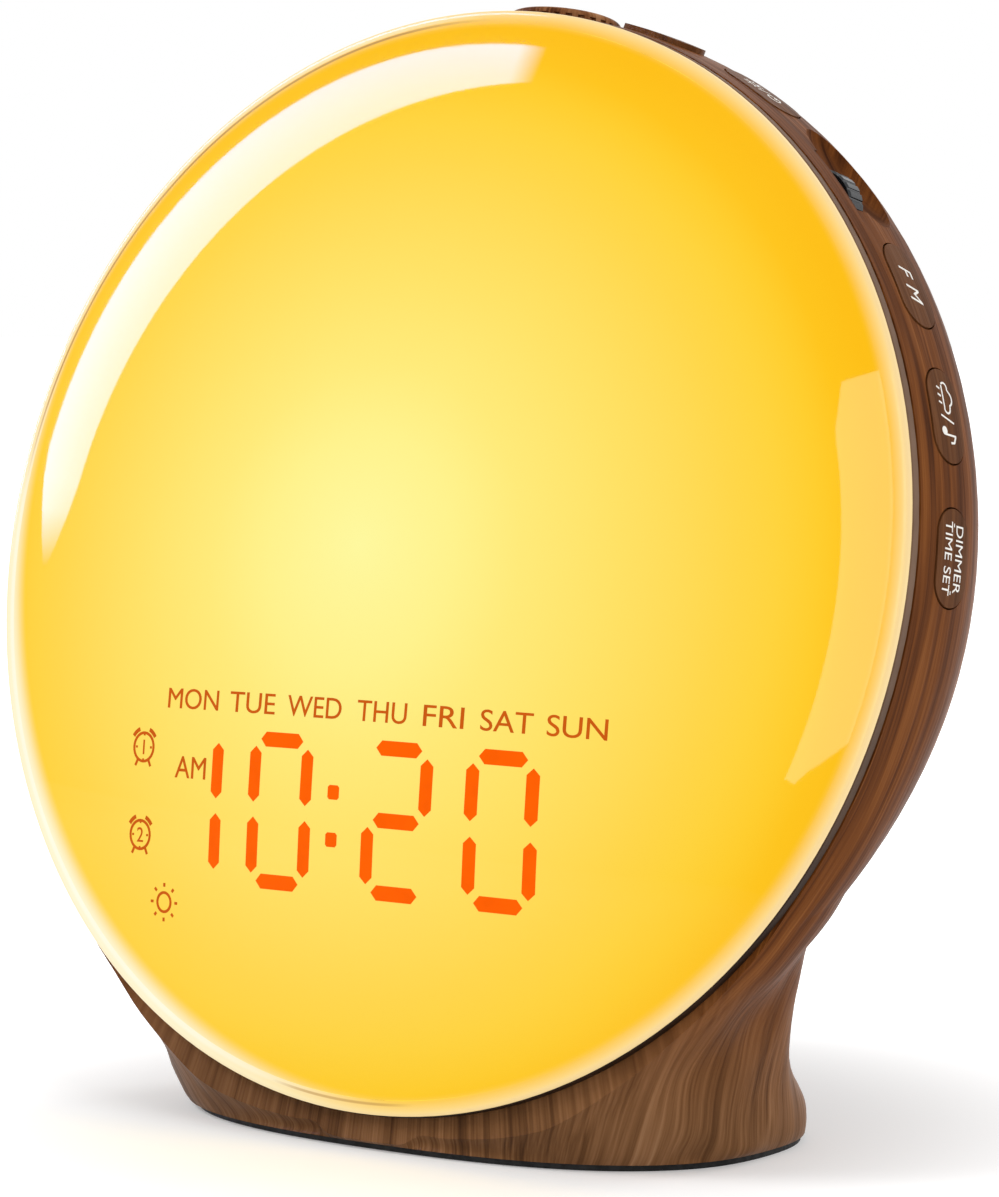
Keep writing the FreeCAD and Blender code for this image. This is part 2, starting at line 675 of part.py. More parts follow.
def rear_housing():
    """Wood-look moulding: bowl, neck and foot in one shell, with its bosses and openings."""
    shell = outer_body()
    room, hollows = inner_space()
    for hollow in hollows:
        shell = shell.cut(hollow)
    inside = bowl(-HOUSING_WALL / 2)

    # Bosses and seats inside the wall, trimmed to the middle of the wall
    seats = []
    for x, y in post_places():
        seats.append(on_face(cylinder(POST_RADIUS, -LARGE / 4, -PAN_BACK, x, y)))
    seats.append(on_face(tube(SPEAKER_RADIUS - 0.5, SPEAKER_RADIUS - 0.5 - SPEAKER_SEAT_WALL,
                              -LARGE / 4, -SPEAKER_SEAT_DEPTH, 0, SPEAKER_HEIGHT)))
    boss_radius = INLET_TUBE_RADIUS + PORT_BOSS_WALL
    seats.append(on_face(cylinder(boss_radius, -LARGE / 4, -PORT_SEAT_DEPTH, -PORT_SIDE, PORT_HEIGHT)))
    charge_half = CHARGE_SHELL_WIDTH / 2 + PORT_BOSS_WALL
    charge_rise = CHARGE_SHELL_HEIGHT / 2 + PORT_BOSS_WALL
    seats.append(on_face(box(PORT_SIDE - charge_half, PORT_SIDE + charge_half, PORT_HEIGHT - charge_rise,
                             PORT_HEIGHT + charge_rise, -LARGE / 4, -PORT_SEAT_DEPTH)))
    for side in (1, -1):
        for angle in KEY_SHELF_ANGLES:
            low, high = sorted((side * (angle - KEY_SHELF_SPREAD), side * (angle + KEY_SHELF_SPREAD)))
            seats.append(on_face(ring_sector(KEY_SHELF_INNER, INNER_BAND_RADIUS + 0.2, low, high,
                                             -KEY_BOARD_BACK - KEY_SHELF_DEPTH, -KEY_BOARD_BACK)))
    knob_boss = standing_cylinder(KNOB_BOSS_RADIUS, KNOB_BOSS_BOTTOM, HOUSING_WIDE_RADIUS, KNOB_DEPTH)
    seats.append(on_face(knob_boss))
    scoop_boss = ellipsoid(SCOOP_HALF_LENGTH - 0.5, SCOOP_DEEP + SCOOP_WALL, SCOOP_HALF_WIDTH + SCOOP_WALL,
                           HOUSING_WIDE_RADIUS, SCOOP_DEPTH_PLACE)
    seats.append(on_face(round_band(scoop_boss, SCOOP_ANGLE)))
    depth = cell_floor() + BAY_WALL
    bay_width = DOOR_WIDTH + 2 * BAY_WALL
    bay_length = DOOR_LENGTH + 2 * BAY_WALL
    seats.append(in_bay(rounded_plate(bay_width, bay_length, DOOR_CORNER, -depth, 0.0)))
    seats = [seat.common(inside) for seat in seats]

    # The knob's round seat stands on the band's shoulder
    knob_seat = on_face(standing_cylinder(KNOB_SEAT_RADIUS, KNOB_SEAT_ROOT, KNOB_BOTTOM - KNOB_SEAT_GAP,
                                          KNOB_DEPTH))
    seats.append(knob_seat.cut(room))

    # Bosses in the foot for the base plate's screws
    for x, y, rib_x, rib_y in BASE_POSTS:
        seats.append(cylinder(BASE_POST_RADIUS, BASE_PLATE_TOP, BASE_POST_TOP, x, y))
        side_x = BASE_POST_RIB_HALF if rib_y else 0.0
        side_y = BASE_POST_RIB_HALF if rib_x else 0.0
        seats.append(box(min(x, x + rib_x) - side_x, max(x, x + rib_x) + side_x,
                         min(y, y + rib_y) - side_y, max(y, y + rib_y) + side_y,
                         BASE_PLATE_TOP, BASE_POST_TOP))
    shell = shell.multiFuse(seats)

    # Openings
    cuts = [button_hole(angle) for name, angle, proud in RIGHT_BUTTONS + LEFT_BUTTONS]
    scoop = ellipsoid(SCOOP_HALF_LENGTH, SCOOP_DEEP, SCOOP_HALF_WIDTH, HOUSING_WIDE_RADIUS, SCOOP_DEPTH_PLACE)
    cuts.append(on_face(round_band(scoop, SCOOP_ANGLE)))
    slot_half = WHEEL_RADIUS + WHEEL_SLOT_GAP
    slot = box(-slot_half, slot_half, wheel_centre(), HOUSING_WIDE_RADIUS + 3,
               -WHEEL_DEPTH - WHEEL_THICK / 2 - WHEEL_SLOT_GAP, -WHEEL_SLOT_FRONT)
    cuts.append(on_face(round_band(slot, WHEEL_ANGLE)))
    knob_hole = SHAFT_RADIUS + SHAFT_GAP + BUSHING_WALL + BUSHING_GAP
    cuts.append(on_face(standing_cylinder(knob_hole, KNOB_BOSS_BOTTOM - 1, KNOB_TOP, KNOB_DEPTH)))
    cuts.append(on_face(standing_cylinder(KNOB_SEAT_RADIUS + 1, KNOB_BOTTOM - KNOB_SEAT_GAP, KNOB_TOP + 1,
                                          KNOB_DEPTH)))
    for x, y in post_places():
        cuts.append(on_face(cylinder(POST_HEAD_HOLE, -LARGE / 4, -POST_SHOULDER_DEPTH, x, y)))
        cuts.append(on_face(cylinder(POST_SCREW_HOLE, -POST_SHOULDER_DEPTH - 1, -PAN_BACK + 1, x, y)))
    for x, y in grille_places():
        cuts.append(on_face(cylinder(GRILLE_HOLE_RADIUS, -LARGE / 4, back_depth(0.0) + 12.0, x, y)))
    cuts.append(on_face(cylinder(INLET_RECESS_RADIUS, -LARGE / 4, -PORT_FACE_DEPTH, -PORT_SIDE, PORT_HEIGHT)))
    cuts.append(on_face(cylinder(INLET_TUBE_RADIUS + PORT_HOLE_GAP, -LARGE / 4, -PORT_SEAT_DEPTH + 1,
                                 -PORT_SIDE, PORT_HEIGHT)))
    pocket = INLET_BODY / 2 + PORT_HOLE_GAP
    cuts.append(on_face(box(-PORT_SIDE - pocket, -PORT_SIDE + pocket, PORT_HEIGHT - pocket,
                            PORT_HEIGHT + pocket, -PORT_SEAT_DEPTH, -PORT_BACK_DEPTH)))
    cuts.append(charge_prism(CHARGE_RECESS_EXTRA, -LARGE / 4, -PORT_FACE_DEPTH))
    cuts.append(charge_prism(PORT_HOLE_GAP, -LARGE / 4, -PORT_SEAT_DEPTH + 1))
    cuts.append(charge_prism(CHARGE_BODY_EXTRA + PORT_HOLE_GAP, -PORT_SEAT_DEPTH, -PORT_BACK_DEPTH))
    gap = 2 * DOOR_GAP
    cuts.append(in_bay(rounded_plate(DOOR_WIDTH + gap, DOOR_LENGTH + gap, DOOR_CORNER, -DOOR_THICK - DOOR_GAP,
                                     LARGE / 20)))
    cuts.append(in_bay(cylinder(CELL_RADIUS + CELL_GAP, -cell_floor(), 0.0)))
    cuts.append(nail_notch())
    for x, y, rib_x, rib_y in BASE_POSTS:
        cuts.append(cylinder(BASE_SCREW_RADIUS, 0.0, FOOT_BOTTOM + BASE_SCREW_HEAD + BASE_SCREW_LENGTH, x, y))
    return shell.cut(cuts).removeSplitter()


def charge_prism(extra, low, high):
    half, rise = CHARGE_SHELL_WIDTH / 2 + extra, CHARGE_SHELL_HEIGHT / 2 + extra
    return on_face(box(PORT_SIDE - half, PORT_SIDE + half, PORT_HEIGHT - rise, PORT_HEIGHT + rise, low, high))


def bezel_ring():
    """Narrow brown ring between the lens and the wood, with its spigot in the housing's mouth."""
    chamfer = BEZEL_CHAMFER
    spigot_inner = SPIGOT_RADIUS - BEZEL_SPIGOT_WALL
    back = -RIM_DEPTH
    front = -LENS_EDGE_DEPTH
    return on_face(revolve([
        (BEZEL_INNER_RADIUS, front),
        (BEZEL_RADIUS - chamfer, front),
        (BEZEL_RADIUS, front - chamfer),
        (BEZEL_RADIUS, back + chamfer),
        (BEZEL_RADIUS - chamfer, back),
        (SPIGOT_RADIUS, back),
        (SPIGOT_RADIUS, back - BEZEL_SPIGOT_LENGTH),
        (spigot_inner, back - BEZEL_SPIGOT_LENGTH),
        (spigot_inner, back),
        (BEZEL_INNER_RADIUS, back),
    ]))


def dome_depth(radius, sphere=DOME_SPHERE_RADIUS):
    """Height of the dome's outer face over the rim plane at a radius."""
    return DOME_RISE - DOME_SPHERE_RADIUS + math.sqrt(sphere ** 2 - radius ** 2)


def lens_ring():
    """Clear edge ring of the lens, its face carrying on the dome's curve."""
    inner = LENS_RADIUS - LENS_RING_WIDTH
    ring = revolve([
        (inner, -LENS_EDGE_DEPTH),
        (LENS_RADIUS, -LENS_EDGE_DEPTH),
        (LENS_RADIUS, dome_depth(LENS_RADIUS)),
        (inner, dome_depth(inner)),
    ])
    rim = [edge for edge in ring.Edges
           if abs(edge.BoundBox.XMax - LENS_RADIUS) < 0.01 and edge.BoundBox.ZMin > -LENS_EDGE_DEPTH + 0.1]
    return on_face(ring.makeFillet(LENS_EDGE_ROUND, rim))


def diffuser_dome():
    """Milky dome over the lamps and the clock display."""
    seam = 0.1
    edge = LENS_RADIUS - LENS_RING_WIDTH - seam
    inner_sphere = DOME_SPHERE_RADIUS - DOME_WALL
    centre = DOME_RISE - DOME_SPHERE_RADIUS
    foot = math.sqrt(inner_sphere ** 2 - (LENS_EDGE_DEPTH + centre) ** 2)
    half = edge / 2

    def outer(r):
        return VEC(r, 0, dome_depth(r))

    def inner(r):
        return VEC(r, 0, dome_depth(r, inner_sphere))

    edges = [
        Part.Arc(outer(0), outer(half), outer(edge)).toShape(),
        Part.LineSegment(outer(edge), VEC(edge, 0, -LENS_EDGE_DEPTH)).toShape(),
        Part.LineSegment(VEC(edge, 0, -LENS_EDGE_DEPTH), VEC(foot, 0, -LENS_EDGE_DEPTH)).toShape(),
        Part.Arc(VEC(foot, 0, -LENS_EDGE_DEPTH), inner(half), inner(0)).toShape(),
        Part.LineSegment(inner(0), outer(0)).toShape(),
    ]
    return on_face(Part.Face(Part.Wire(edges)).revolve(VEC(0, 0, 0), UP, 360))


def reflector_pan():
    """White dish that carries the lamps, with standoffs for the main board behind it."""
    back = -RIM_DEPTH
    pan = revolve([
        (0, -PAN_FLOOR_DEPTH),
        (PAN_FLOOR_RADIUS, -PAN_FLOOR_DEPTH),
        (PAN_MOUTH_RADIUS, back),
        (PAN_FLANGE_RADIUS, back),
        (PAN_FLANGE_RADIUS, back - PAN_WALL),
        (PAN_MOUTH_RADIUS, back - PAN_WALL),
        (PAN_FLOOR_RADIUS, -PAN_BACK),
        (0, -PAN_BACK),
    ])
    pieces = [pan]
    for x, y in standoff_places():
        pieces.append(cylinder(STANDOFF_RADIUS, -MAIN_BOARD_FRONT, -PAN_BACK, x, y))
    pan = fuse_all(pieces)
    cuts = []
    screw_end = -MAIN_BOARD_FRONT + BOARD_SCREW_LENGTH
    for x, y in standoff_places():
        cuts.append(cylinder(BOARD_SCREW_RADIUS, -MAIN_BOARD_FRONT, screw_end, x, y))
    for x, y in post_places():
        cuts.append(cylinder(LONG_SCREW_RADIUS, -PAN_BACK, -PAN_BACK + PAN_WALL - 0.3, x, y))
    return on_face(pan.cut(cuts))


def light_board():
    """Round lamp board, cut straight over the display."""
    board = cylinder(LIGHT_BOARD_RADIUS, -PAN_FLOOR_DEPTH, -PAN_FLOOR_DEPTH + LIGHT_BOARD_THICK)
    below = box(-LARGE, LARGE, -LARGE, DISPLAY_TOP + 0.5, -PAN_FLOOR_DEPTH - 1, 0)
    return on_face(board.cut(below))


def lamps():
    low = -PAN_FLOOR_DEPTH + LIGHT_BOARD_THICK
    chips = []
    for radius, count in LAMP_RINGS:
        for index in range(count):
            turn = 360.0 * index / count
            height = radius * math.cos(math.radians(turn))
            if height < DISPLAY_TOP + LAMP_SIZE:
                continue
            half = LAMP_SIZE / 2
            chip = box(-half, half, radius - half, radius + half, low, low + LAMP_HEIGHT)
            chips.append(on_face(round_band(chip, turn)))
    return Part.makeCompound(chips)


def segment(x, y, across):
    """One pointed bar of a digit, through the display's window sheet."""
    half = DIGIT_ARM / 2 - SEGMENT_GAP
    wide = SEGMENT_WIDTH / 2
    low = -PAN_FLOOR_DEPTH + DISPLAY_HEIGHT - DISPLAY_WINDOW
    outline = ((-half, 0), (-half + wide, wide), (half - wide, wide), (half, 0),
               (half - wide, -wide), (-half + wide, -wide), (-half, 0))
    points = [VEC(x + (a if across else b), y + (b if across else a), low) for a, b in outline]
    return Part.Face(Part.makePolygon(points)).extrude(VEC(0, 0, DISPLAY_WINDOW))


def digit_segments():
    """Glowing bars of the time, set in the display's window sheet."""
    offsets = {
        "a": (0, DIGIT_ARM, True), "g": (0, 0, True), "d": (0, -DIGIT_ARM, True),
        "f": (-DIGIT_HALF_WIDTH, DIGIT_ARM / 2, False), "b": (DIGIT_HALF_WIDTH, DIGIT_ARM / 2, False),
        "e": (-DIGIT_HALF_WIDTH, -DIGIT_ARM / 2, False), "c": (DIGIT_HALF_WIDTH, -DIGIT_ARM / 2, False),
    }
    bars = []
    for centre, shape in zip(DIGIT_CENTRES, DIGIT_SHAPES):
        for name in shape:
            x, y, across = offsets[name]
            bars.append(segment(centre + x, DIGIT_MIDDLE + y, across))
    high = -PAN_FLOOR_DEPTH + DISPLAY_HEIGHT
    low = high - DISPLAY_WINDOW
    half = COLON_SIZE / 2
    for side in (1, -1):
        y = DIGIT_MIDDLE + side * COLON_OFFSET
        bars.append(box(COLON_CENTRE - half, COLON_CENTRE + half, y - half, y + half, low, high))
    return bars


def display_module():
    """Display block on the pan's floor, with a window for each bar."""
    block = box(DISPLAY_LEFT, DISPLAY_RIGHT, DISPLAY_BOTTOM, DISPLAY_TOP,
                -PAN_FLOOR_DEPTH, -PAN_FLOOR_DEPTH + DISPLAY_HEIGHT)
    return on_face(block.cut(digit_segments()))


def screw(radius, head_radius, head, length):
    """Screw standing on its head's seat at height 0, the head below, with a cross recess."""
    body = cylinder(radius, 0, length).fuse(cylinder(head_radius, -head, 0))
    reach = head_radius * 0.6
    slot = 0.3
    cross = [box(-reach, reach, -slot, slot, -head - 1, -head + head / 2),
             box(-slot, slot, -reach, reach, -head - 1, -head + head / 2)]
    return body.cut(cross).removeSplitter()


def main_board():
    """Main circuit board with its chips, on the pan's standoffs."""
    back = -MAIN_BOARD_FRONT - MAIN_BOARD_THICK
    board = box(-MAIN_BOARD_HALF_WIDTH, MAIN_BOARD_HALF_WIDTH, MAIN_BOARD_BOTTOM, MAIN_BOARD_TOP,
                back, -MAIN_BOARD_FRONT)
    pieces = [board]
    for x, y, width, height, thick in CHIPS:
        pieces.append(box(x - width / 2, x + width / 2, y - height / 2, y + height / 2, back - thick, back))
    board = fuse_all(pieces)
    holes = []
    for x, y in standoff_places():
        holes.append(cylinder(BOARD_SCREW_RADIUS, back - 1, -MAIN_BOARD_FRONT + 1, x, y))
    return on_face(board.cut(holes))


def board_screws():
    back = -MAIN_BOARD_FRONT - MAIN_BOARD_THICK
    screws = []
    for x, y in standoff_places():
        one = screw(BOARD_SCREW_RADIUS, BOARD_SCREW_HEAD_RADIUS, BOARD_SCREW_HEAD, BOARD_SCREW_LENGTH)
        one.translate(VEC(x, y, back))
        screws.append(on_face(one))
    return Part.makeCompound(screws)


def housing_screws():
    length = POST_SHOULDER_DEPTH - PAN_BACK + PAN_WALL - 0.5
    screws = []
    for x, y in post_places():
        one = screw(LONG_SCREW_RADIUS, LONG_SCREW_HEAD_RADIUS, LONG_SCREW_HEAD, length)
        one.translate(VEC(x, y, -POST_SHOULDER_DEPTH))
        screws.append(on_face(one))
    return Part.makeCompound(screws)


def key_board(side):
    """Ring-shaped board behind the buttons of one side."""
    low, high = sorted((side * KEY_BOARD_START, side * KEY_BOARD_END))
    return on_face(ring_sector(KEY_BOARD_INNER, KEY_BOARD_OUTER, low, high,
                               -KEY_BOARD_BACK, -KEY_BOARD_FRONT))


def switches(buttons):
    return Part.makeCompound([switch(angle) for name, angle, proud in buttons])


def volume_wheel():
    """Notched thumbwheel that stands edge-on in the scoop."""
    centre = wheel_centre()
    low = -WHEEL_DEPTH - WHEEL_THICK / 2
    wheel = cylinder(WHEEL_RADIUS, low, low + WHEEL_THICK)
    rims = [edge for edge in wheel.Edges if edge.Length > WHEEL_RADIUS * 6]
    wheel = wheel.makeChamfer(WHEEL_NOTCH_RADIUS, rims)
    notches = []
    for index in range(WHEEL_NOTCHES):
        turn = 2 * math.pi * index / WHEEL_NOTCHES
        notches.append(cylinder(WHEEL_NOTCH_RADIUS, low - 1, low + WHEEL_THICK + 1,
                                WHEEL_RADIUS * math.cos(turn), WHEEL_RADIUS * math.sin(turn)))
    notches.append(cylinder(WHEEL_BORE, low - 1, low + WHEEL_THICK + 1))
    wheel = wheel.cut(notches)
    wheel.translate(VEC(0, centre, 0))
    return on_face(round_band(wheel, WHEEL_ANGLE))


def volume_pot():
    """Volume control on the key board, with the axle that carries the wheel."""
    centre = wheel_centre()
    seat = -WHEEL_DEPTH - WHEEL_THICK / 2 - 0.3
    body = box(-POT_WIDTH / 2, POT_WIDTH / 2, centre + POT_RISE - POT_HEIGHT, centre + POT_RISE,
               -KEY_BOARD_FRONT, seat)
    axle = cylinder(WHEEL_BORE - WHEEL_RUNNING_GAP, -KEY_BOARD_FRONT, -WHEEL_DEPTH + WHEEL_THICK / 2 + 0.3,
                    0, centre)
    return on_face(round_band(fuse_all([body, axle]), WHEEL_ANGLE))


def light_knob():
    """Ribbed knob with a low crown, pressed on the shaft."""
    height = KNOB_TOP - KNOB_BOTTOM
    shoulder = height - KNOB_CROWN
    crown_radius = (KNOB_RADIUS ** 2 + KNOB_CROWN ** 2) / (2 * KNOB_CROWN)
    half = KNOB_RADIUS / 2
    crown_mid = math.sqrt(crown_radius ** 2 - half ** 2) - crown_radius + height
    edges = [
        Part.LineSegment(VEC(0, 0, 0), VEC(KNOB_RADIUS, 0, 0)).toShape(),
        Part.LineSegment(VEC(KNOB_RADIUS, 0, 0), VEC(KNOB_RADIUS, 0, shoulder)).toShape(),
        Part.Arc(VEC(KNOB_RADIUS, 0, shoulder), VEC(half, 0, crown_mid), VEC(0, 0, height)).toShape(),
        Part.LineSegment(VEC(0, 0, height), VEC(0, 0, 0)).toShape(),
    ]
    knob = Part.Face(Part.Wire(edges)).revolve(VEC(0, 0, 0), UP, 360)
    grooves = []
    for index in range(KNOB_RIBS):
        turn = 2 * math.pi * index / KNOB_RIBS
        grooves.append(cylinder(KNOB_GROOVE_RADIUS, -1, shoulder - KNOB_EDGE_ROUND,
                                KNOB_RADIUS * math.cos(turn), KNOB_RADIUS * math.sin(turn)))
    grooves.append(cylinder(SHAFT_RADIUS + SHAFT_GAP / 2, -1, height - SHAFT_TOP_GAP))
    rim = [edge for edge in knob.Edges
           if abs(edge.BoundBox.ZMin - shoulder) < 0.01 and edge.BoundBox.ZLength < 0.01]
    knob = knob.makeFillet(KNOB_EDGE_ROUND, rim).cut(grooves)
    return knob_place(knob, KNOB_BOTTOM)


def knob_place(shape, radius):
    """Stands a shape drawn along z on the knob's axis, at a radius from the disc's middle."""
    place = FreeCAD.Placement(VEC(0, radius, -KNOB_DEPTH), FreeCAD.Rotation(VEC(1, 0, 0), -90))
    moved = shape.copy()
    moved.Placement = place.multiply(moved.Placement)
    return on_face(moved)


def knob_shaft():
    low = KNOB_BOSS_BOTTOM - ENCODER_HEIGHT / 2
    high = KNOB_TOP - SHAFT_TOP_GAP - SHAFT_GAP
    return knob_place(cylinder(SHAFT_RADIUS, 0, high - low), low)


def knob_encoder():
    """Rotary encoder under the boss, with the bushing that the shaft turns in."""
    half = ENCODER_WIDTH / 2
    bore = SHAFT_RADIUS + SHAFT_GAP
    low = KNOB_BOSS_BOTTOM - ENCODER_HEIGHT
    body = box(-half, half, -half, half, 0, ENCODER_HEIGHT)
    bushing = cylinder(bore + BUSHING_WALL, 0, KNOB_BOTTOM - KNOB_SEAT_GAP - low)
    bore_cut = cylinder(bore, ENCODER_HEIGHT / 2 - SHAFT_GAP, LARGE / 4)
    return knob_place(fuse_all([body, bushing]).cut(bore_cut), low)


def speaker_frame():
    """Pressed speaker basket on the ring behind the grille."""
    seat = -SPEAKER_SEAT_DEPTH
    wall = SPEAKER_BASKET_WALL
    mouth = SPEAKER_RADIUS - 3.5
    neck_radius = SPEAKER_MAGNET_RADIUS - 1.0
    floor = seat + SPEAKER_BASKET_DEPTH
    basket = revolve([
        (mouth, seat),
        (SPEAKER_RADIUS, seat),
        (SPEAKER_RADIUS, seat + SPEAKER_FLANGE),
        (mouth + wall, seat + SPEAKER_FLANGE),
        (neck_radius + wall, floor),
        (0, floor),
        (0, floor - wall),
        (neck_radius, floor - wall),
        (mouth, seat + SPEAKER_FLANGE),
    ])
    basket.translate(VEC(0, SPEAKER_HEIGHT, 0))
    return on_face(basket)


def speaker_magnet():
    floor = -SPEAKER_SEAT_DEPTH + SPEAKER_BASKET_DEPTH
    magnet = cylinder(SPEAKER_MAGNET_RADIUS, floor, floor + SPEAKER_MAGNET_LENGTH, 0, SPEAKER_HEIGHT)
    rims = [edge for edge in magnet.Edges if edge.Length > SPEAKER_MAGNET_RADIUS * 6]
    return on_face(magnet.makeFillet(0.6, rims))


def speaker_cone():
    """Paper cone inside the basket, its edge glued to the flange."""
    seat = -SPEAKER_SEAT_DEPTH
    wall = SPEAKER_CONE_WALL
    edge = SPEAKER_RADIUS - 3.5
    throat = 5.0
    floor = seat + SPEAKER_BASKET_DEPTH - SPEAKER_BASKET_WALL - 1.0
    cone = revolve([
        (edge, seat),
        (edge, seat + wall),
        (edge - 1.0, seat + 2 * wall),
        (throat, floor),
        (0, floor),
        (0, floor - wall),
        (throat - wall, floor - wall),
        (edge - 1.5, seat),
    ])
    cone.translate(VEC(0, SPEAKER_HEIGHT, 0))
    return on_face(cone)


def power_inlet():
    """Barrel inlet: tube through the wall, centre pin and body on the boss."""
    x, y = -PORT_SIDE, PORT_HEIGHT
    half = INLET_BODY / 2
    body = box(x - half, x + half, y - half, y + half, -PORT_SEAT_DEPTH, -PORT_BACK_DEPTH)
    barrel = cylinder(INLET_TUBE_RADIUS, -PORT_FACE_DEPTH, -PORT_SEAT_DEPTH, x, y)
    bore = cylinder(INLET_BORE_RADIUS, -PORT_FACE_DEPTH - 1, -PORT_BACK_DEPTH - 2, x, y)
    pin = cylinder(INLET_PIN_RADIUS, -PORT_FACE_DEPTH + 1, -PORT_BACK_DEPTH - 1, x, y)
    return on_face(fuse_all([fuse_all([body, barrel]).cut(bore), pin]))


def charge_port():
    """Charging port: metal shell with its tongue, on a moulded body."""
    wall = CHARGE_SHELL_WALL
    shell = charge_prism(0.0, -PORT_FACE_DEPTH, -PORT_SEAT_DEPTH)
    body = charge_prism(CHARGE_BODY_EXTRA, -PORT_SEAT_DEPTH, -PORT_BACK_DEPTH)
    mouth = charge_prism(-wall, -PORT_FACE_DEPTH - 1, -PORT_BACK_DEPTH - 2)
    half = CHARGE_SHELL_WIDTH / 2 - wall - 0.7
    top = PORT_HEIGHT + CHARGE_SHELL_HEIGHT / 2 - wall - 0.3
    tongue = on_face(box(PORT_SIDE - half, PORT_SIDE + half, top - CHARGE_TONGUE, top,
                         -PORT_FACE_DEPTH + 0.5, -PORT_BACK_DEPTH - 1))
    return fuse_all([fuse_all([shell, body]).cut(mouth), tongue])


def port_board():
    """Small board across the backs of both ports."""
    reach = PORT_SIDE + INLET_BODY / 2
    rise = INLET_BODY / 2
    return on_face(box(-reach, reach, PORT_HEIGHT - rise, PORT_HEIGHT + rise,
                       -PORT_BACK_DEPTH, -PORT_BACK_DEPTH + PORT_BOARD_THICK))


def nail_notch():
    """Scooped notch over the door's free edge, for a fingernail."""
    return in_bay(cylinder(NAIL_NOTCH_RADIUS, -NAIL_NOTCH_DEPTH, LARGE / 20, 0, -DOOR_LENGTH / 2))


def door_axis():
    """Place down the bay and depth of the door's hinge line, in its rolled lower edge."""
    return DOOR_LENGTH / 2 - DOOR_BARREL_RADIUS, -DOOR_THICK + DOOR_BARREL_RADIUS


def battery_door():
    """Door of the coin cell bay, cut from the housing's own curve, one edge rolled as a hinge."""
    along, depth = door_axis()
    plate = rounded_plate(DOOR_WIDTH, DOOR_LENGTH, DOOR_CORNER, -DOOR_THICK, LARGE / 20)
    half = DOOR_WIDTH / 2 + 1
    edge = box(-half, half, along, DOOR_LENGTH, -DOOR_THICK - 1, LARGE / 20)
    barrel = Part.makeCylinder(DOOR_BARREL_RADIUS, 2 * half, VEC(-half, along, depth), VEC(1, 0, 0))
    plate = plate.cut(edge.cut(barrel))
    return in_bay(plate).common(bowl(0.0)).cut(nail_notch())


def coin_cell():
    """Coin cell that keeps the time when the power is off."""
    low = -DOOR_THICK - CELL_GAP - CELL_THICK
    lip = 0.6
    cell = cylinder(CELL_RADIUS, low + lip, low + CELL_THICK)
    cell = cell.fuse(cylinder(CELL_RADIUS - lip, low, low + lip))
    return in_bay(cell.removeSplitter())


def cell_contact():
    """Spring strip between the cell and the bay's floor."""
    low = -cell_floor()
    half = CELL_RADIUS * 0.8
    strip = box(-half, half, -half / 3, half / 3, low, low + CONTACT_THICK)
    bump = cylinder(half / 5, low, low + 2 * CONTACT_THICK)
    return in_bay(fuse_all([strip, bump]))


def base_plate():
    """Plate that closes the foot from below."""
    outline = foot_wire(*NECK_LEVELS[0][:5], -HOUSING_WALL - BASE_PLATE_CLEARANCE)
    plate = Part.Face(outline).extrude(VEC(0, 0, BASE_PLATE_THICK))
    cuts = []
    for x, y, rib_x, rib_y in BASE_POSTS:
        cuts.append(cylinder(BASE_SCREW_HEAD_RADIUS + 0.2, 0, FOOT_BOTTOM + BASE_SCREW_HEAD, x, y))
        cuts.append(cylinder(BASE_SCREW_RADIUS, 0, BASE_PLATE_TOP + 1, x, y))
    return plate.cut(cuts)


def base_screws():
    screws = []
    for x, y, rib_x, rib_y in BASE_POSTS:
        one = screw(BASE_SCREW_RADIUS, BASE_SCREW_HEAD_RADIUS, BASE_SCREW_HEAD, BASE_SCREW_LENGTH)
        one.translate(VEC(x, y, FOOT_BOTTOM + BASE_SCREW_HEAD))
        screws.append(one)
    return Part.makeCompound(screws)


def foot_pad():
    """Dark rubber pad under the whole foot."""
    outline = foot_wire(PAD_HALF_WIDTH, PAD_HALF_DEPTH, PAD_HALF_DEPTH, NECK_LEVELS[0][3] / 2, 0.0, 0.0)
    return Part.Face(outline).extrude(VEC(0, 0, FOOT_BOTTOM))


def build_nodes():
    nodes = {
        "rear_housing": rear_housing(),
        "bezel_ring": bezel_ring(),
        "lens_ring": lens_ring(),
        "diffuser_dome": diffuser_dome(),
        "reflector_pan": reflector_pan(),
        "light_board": light_board(),
        "lamps": lamps(),
        "display_module": display_module(),
        "digit_bars": on_face(Part.makeCompound(digit_segments())),
        "main_board": main_board(),
        "board_screws": board_screws(),
        "housing_screws": housing_screws(),
        "key_board_right": key_board(1),
        "key_board_left": key_board(-1),
        "switches_right": switches(RIGHT_BUTTONS),
        "switches_left": switches(LEFT_BUTTONS),
        "volume_wheel": volume_wheel(),
        "volume_pot": volume_pot(),
        "light_knob": light_knob(),
        "knob_shaft": knob_shaft(),
        "knob_encoder": knob_encoder(),
        "speaker_frame": speaker_frame(),
        "speaker_magnet": speaker_magnet(),
        "speaker_cone": speaker_cone(),
        "power_inlet": power_inlet(),
        "charge_port": charge_port(),
        "port_board": port_board(),
        "battery_door": battery_door(),
        "coin_cell": coin_cell(),
        "cell_contact": cell_contact(),
        "base_plate": base_plate(),
        "base_screws": base_screws(),
        "foot_pad": foot_pad(),
    }
    for name, angle, proud in RIGHT_BUTTONS + LEFT_BUTTONS:
        nodes[name] = button(angle, proud)
    return nodes


def main():
    os.makedirs("parts", exist_ok=True)
    for name, shape in build_nodes().items():
        print(name, len(shape.Solids), "solids", round(shape.Volume, 2), "mm3", shape.isValid())
        shape.exportStep("parts/" + name + ".step")


main()
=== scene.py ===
import math

import bpy
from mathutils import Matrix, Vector
from mathutils.bvhtree import BVHTree


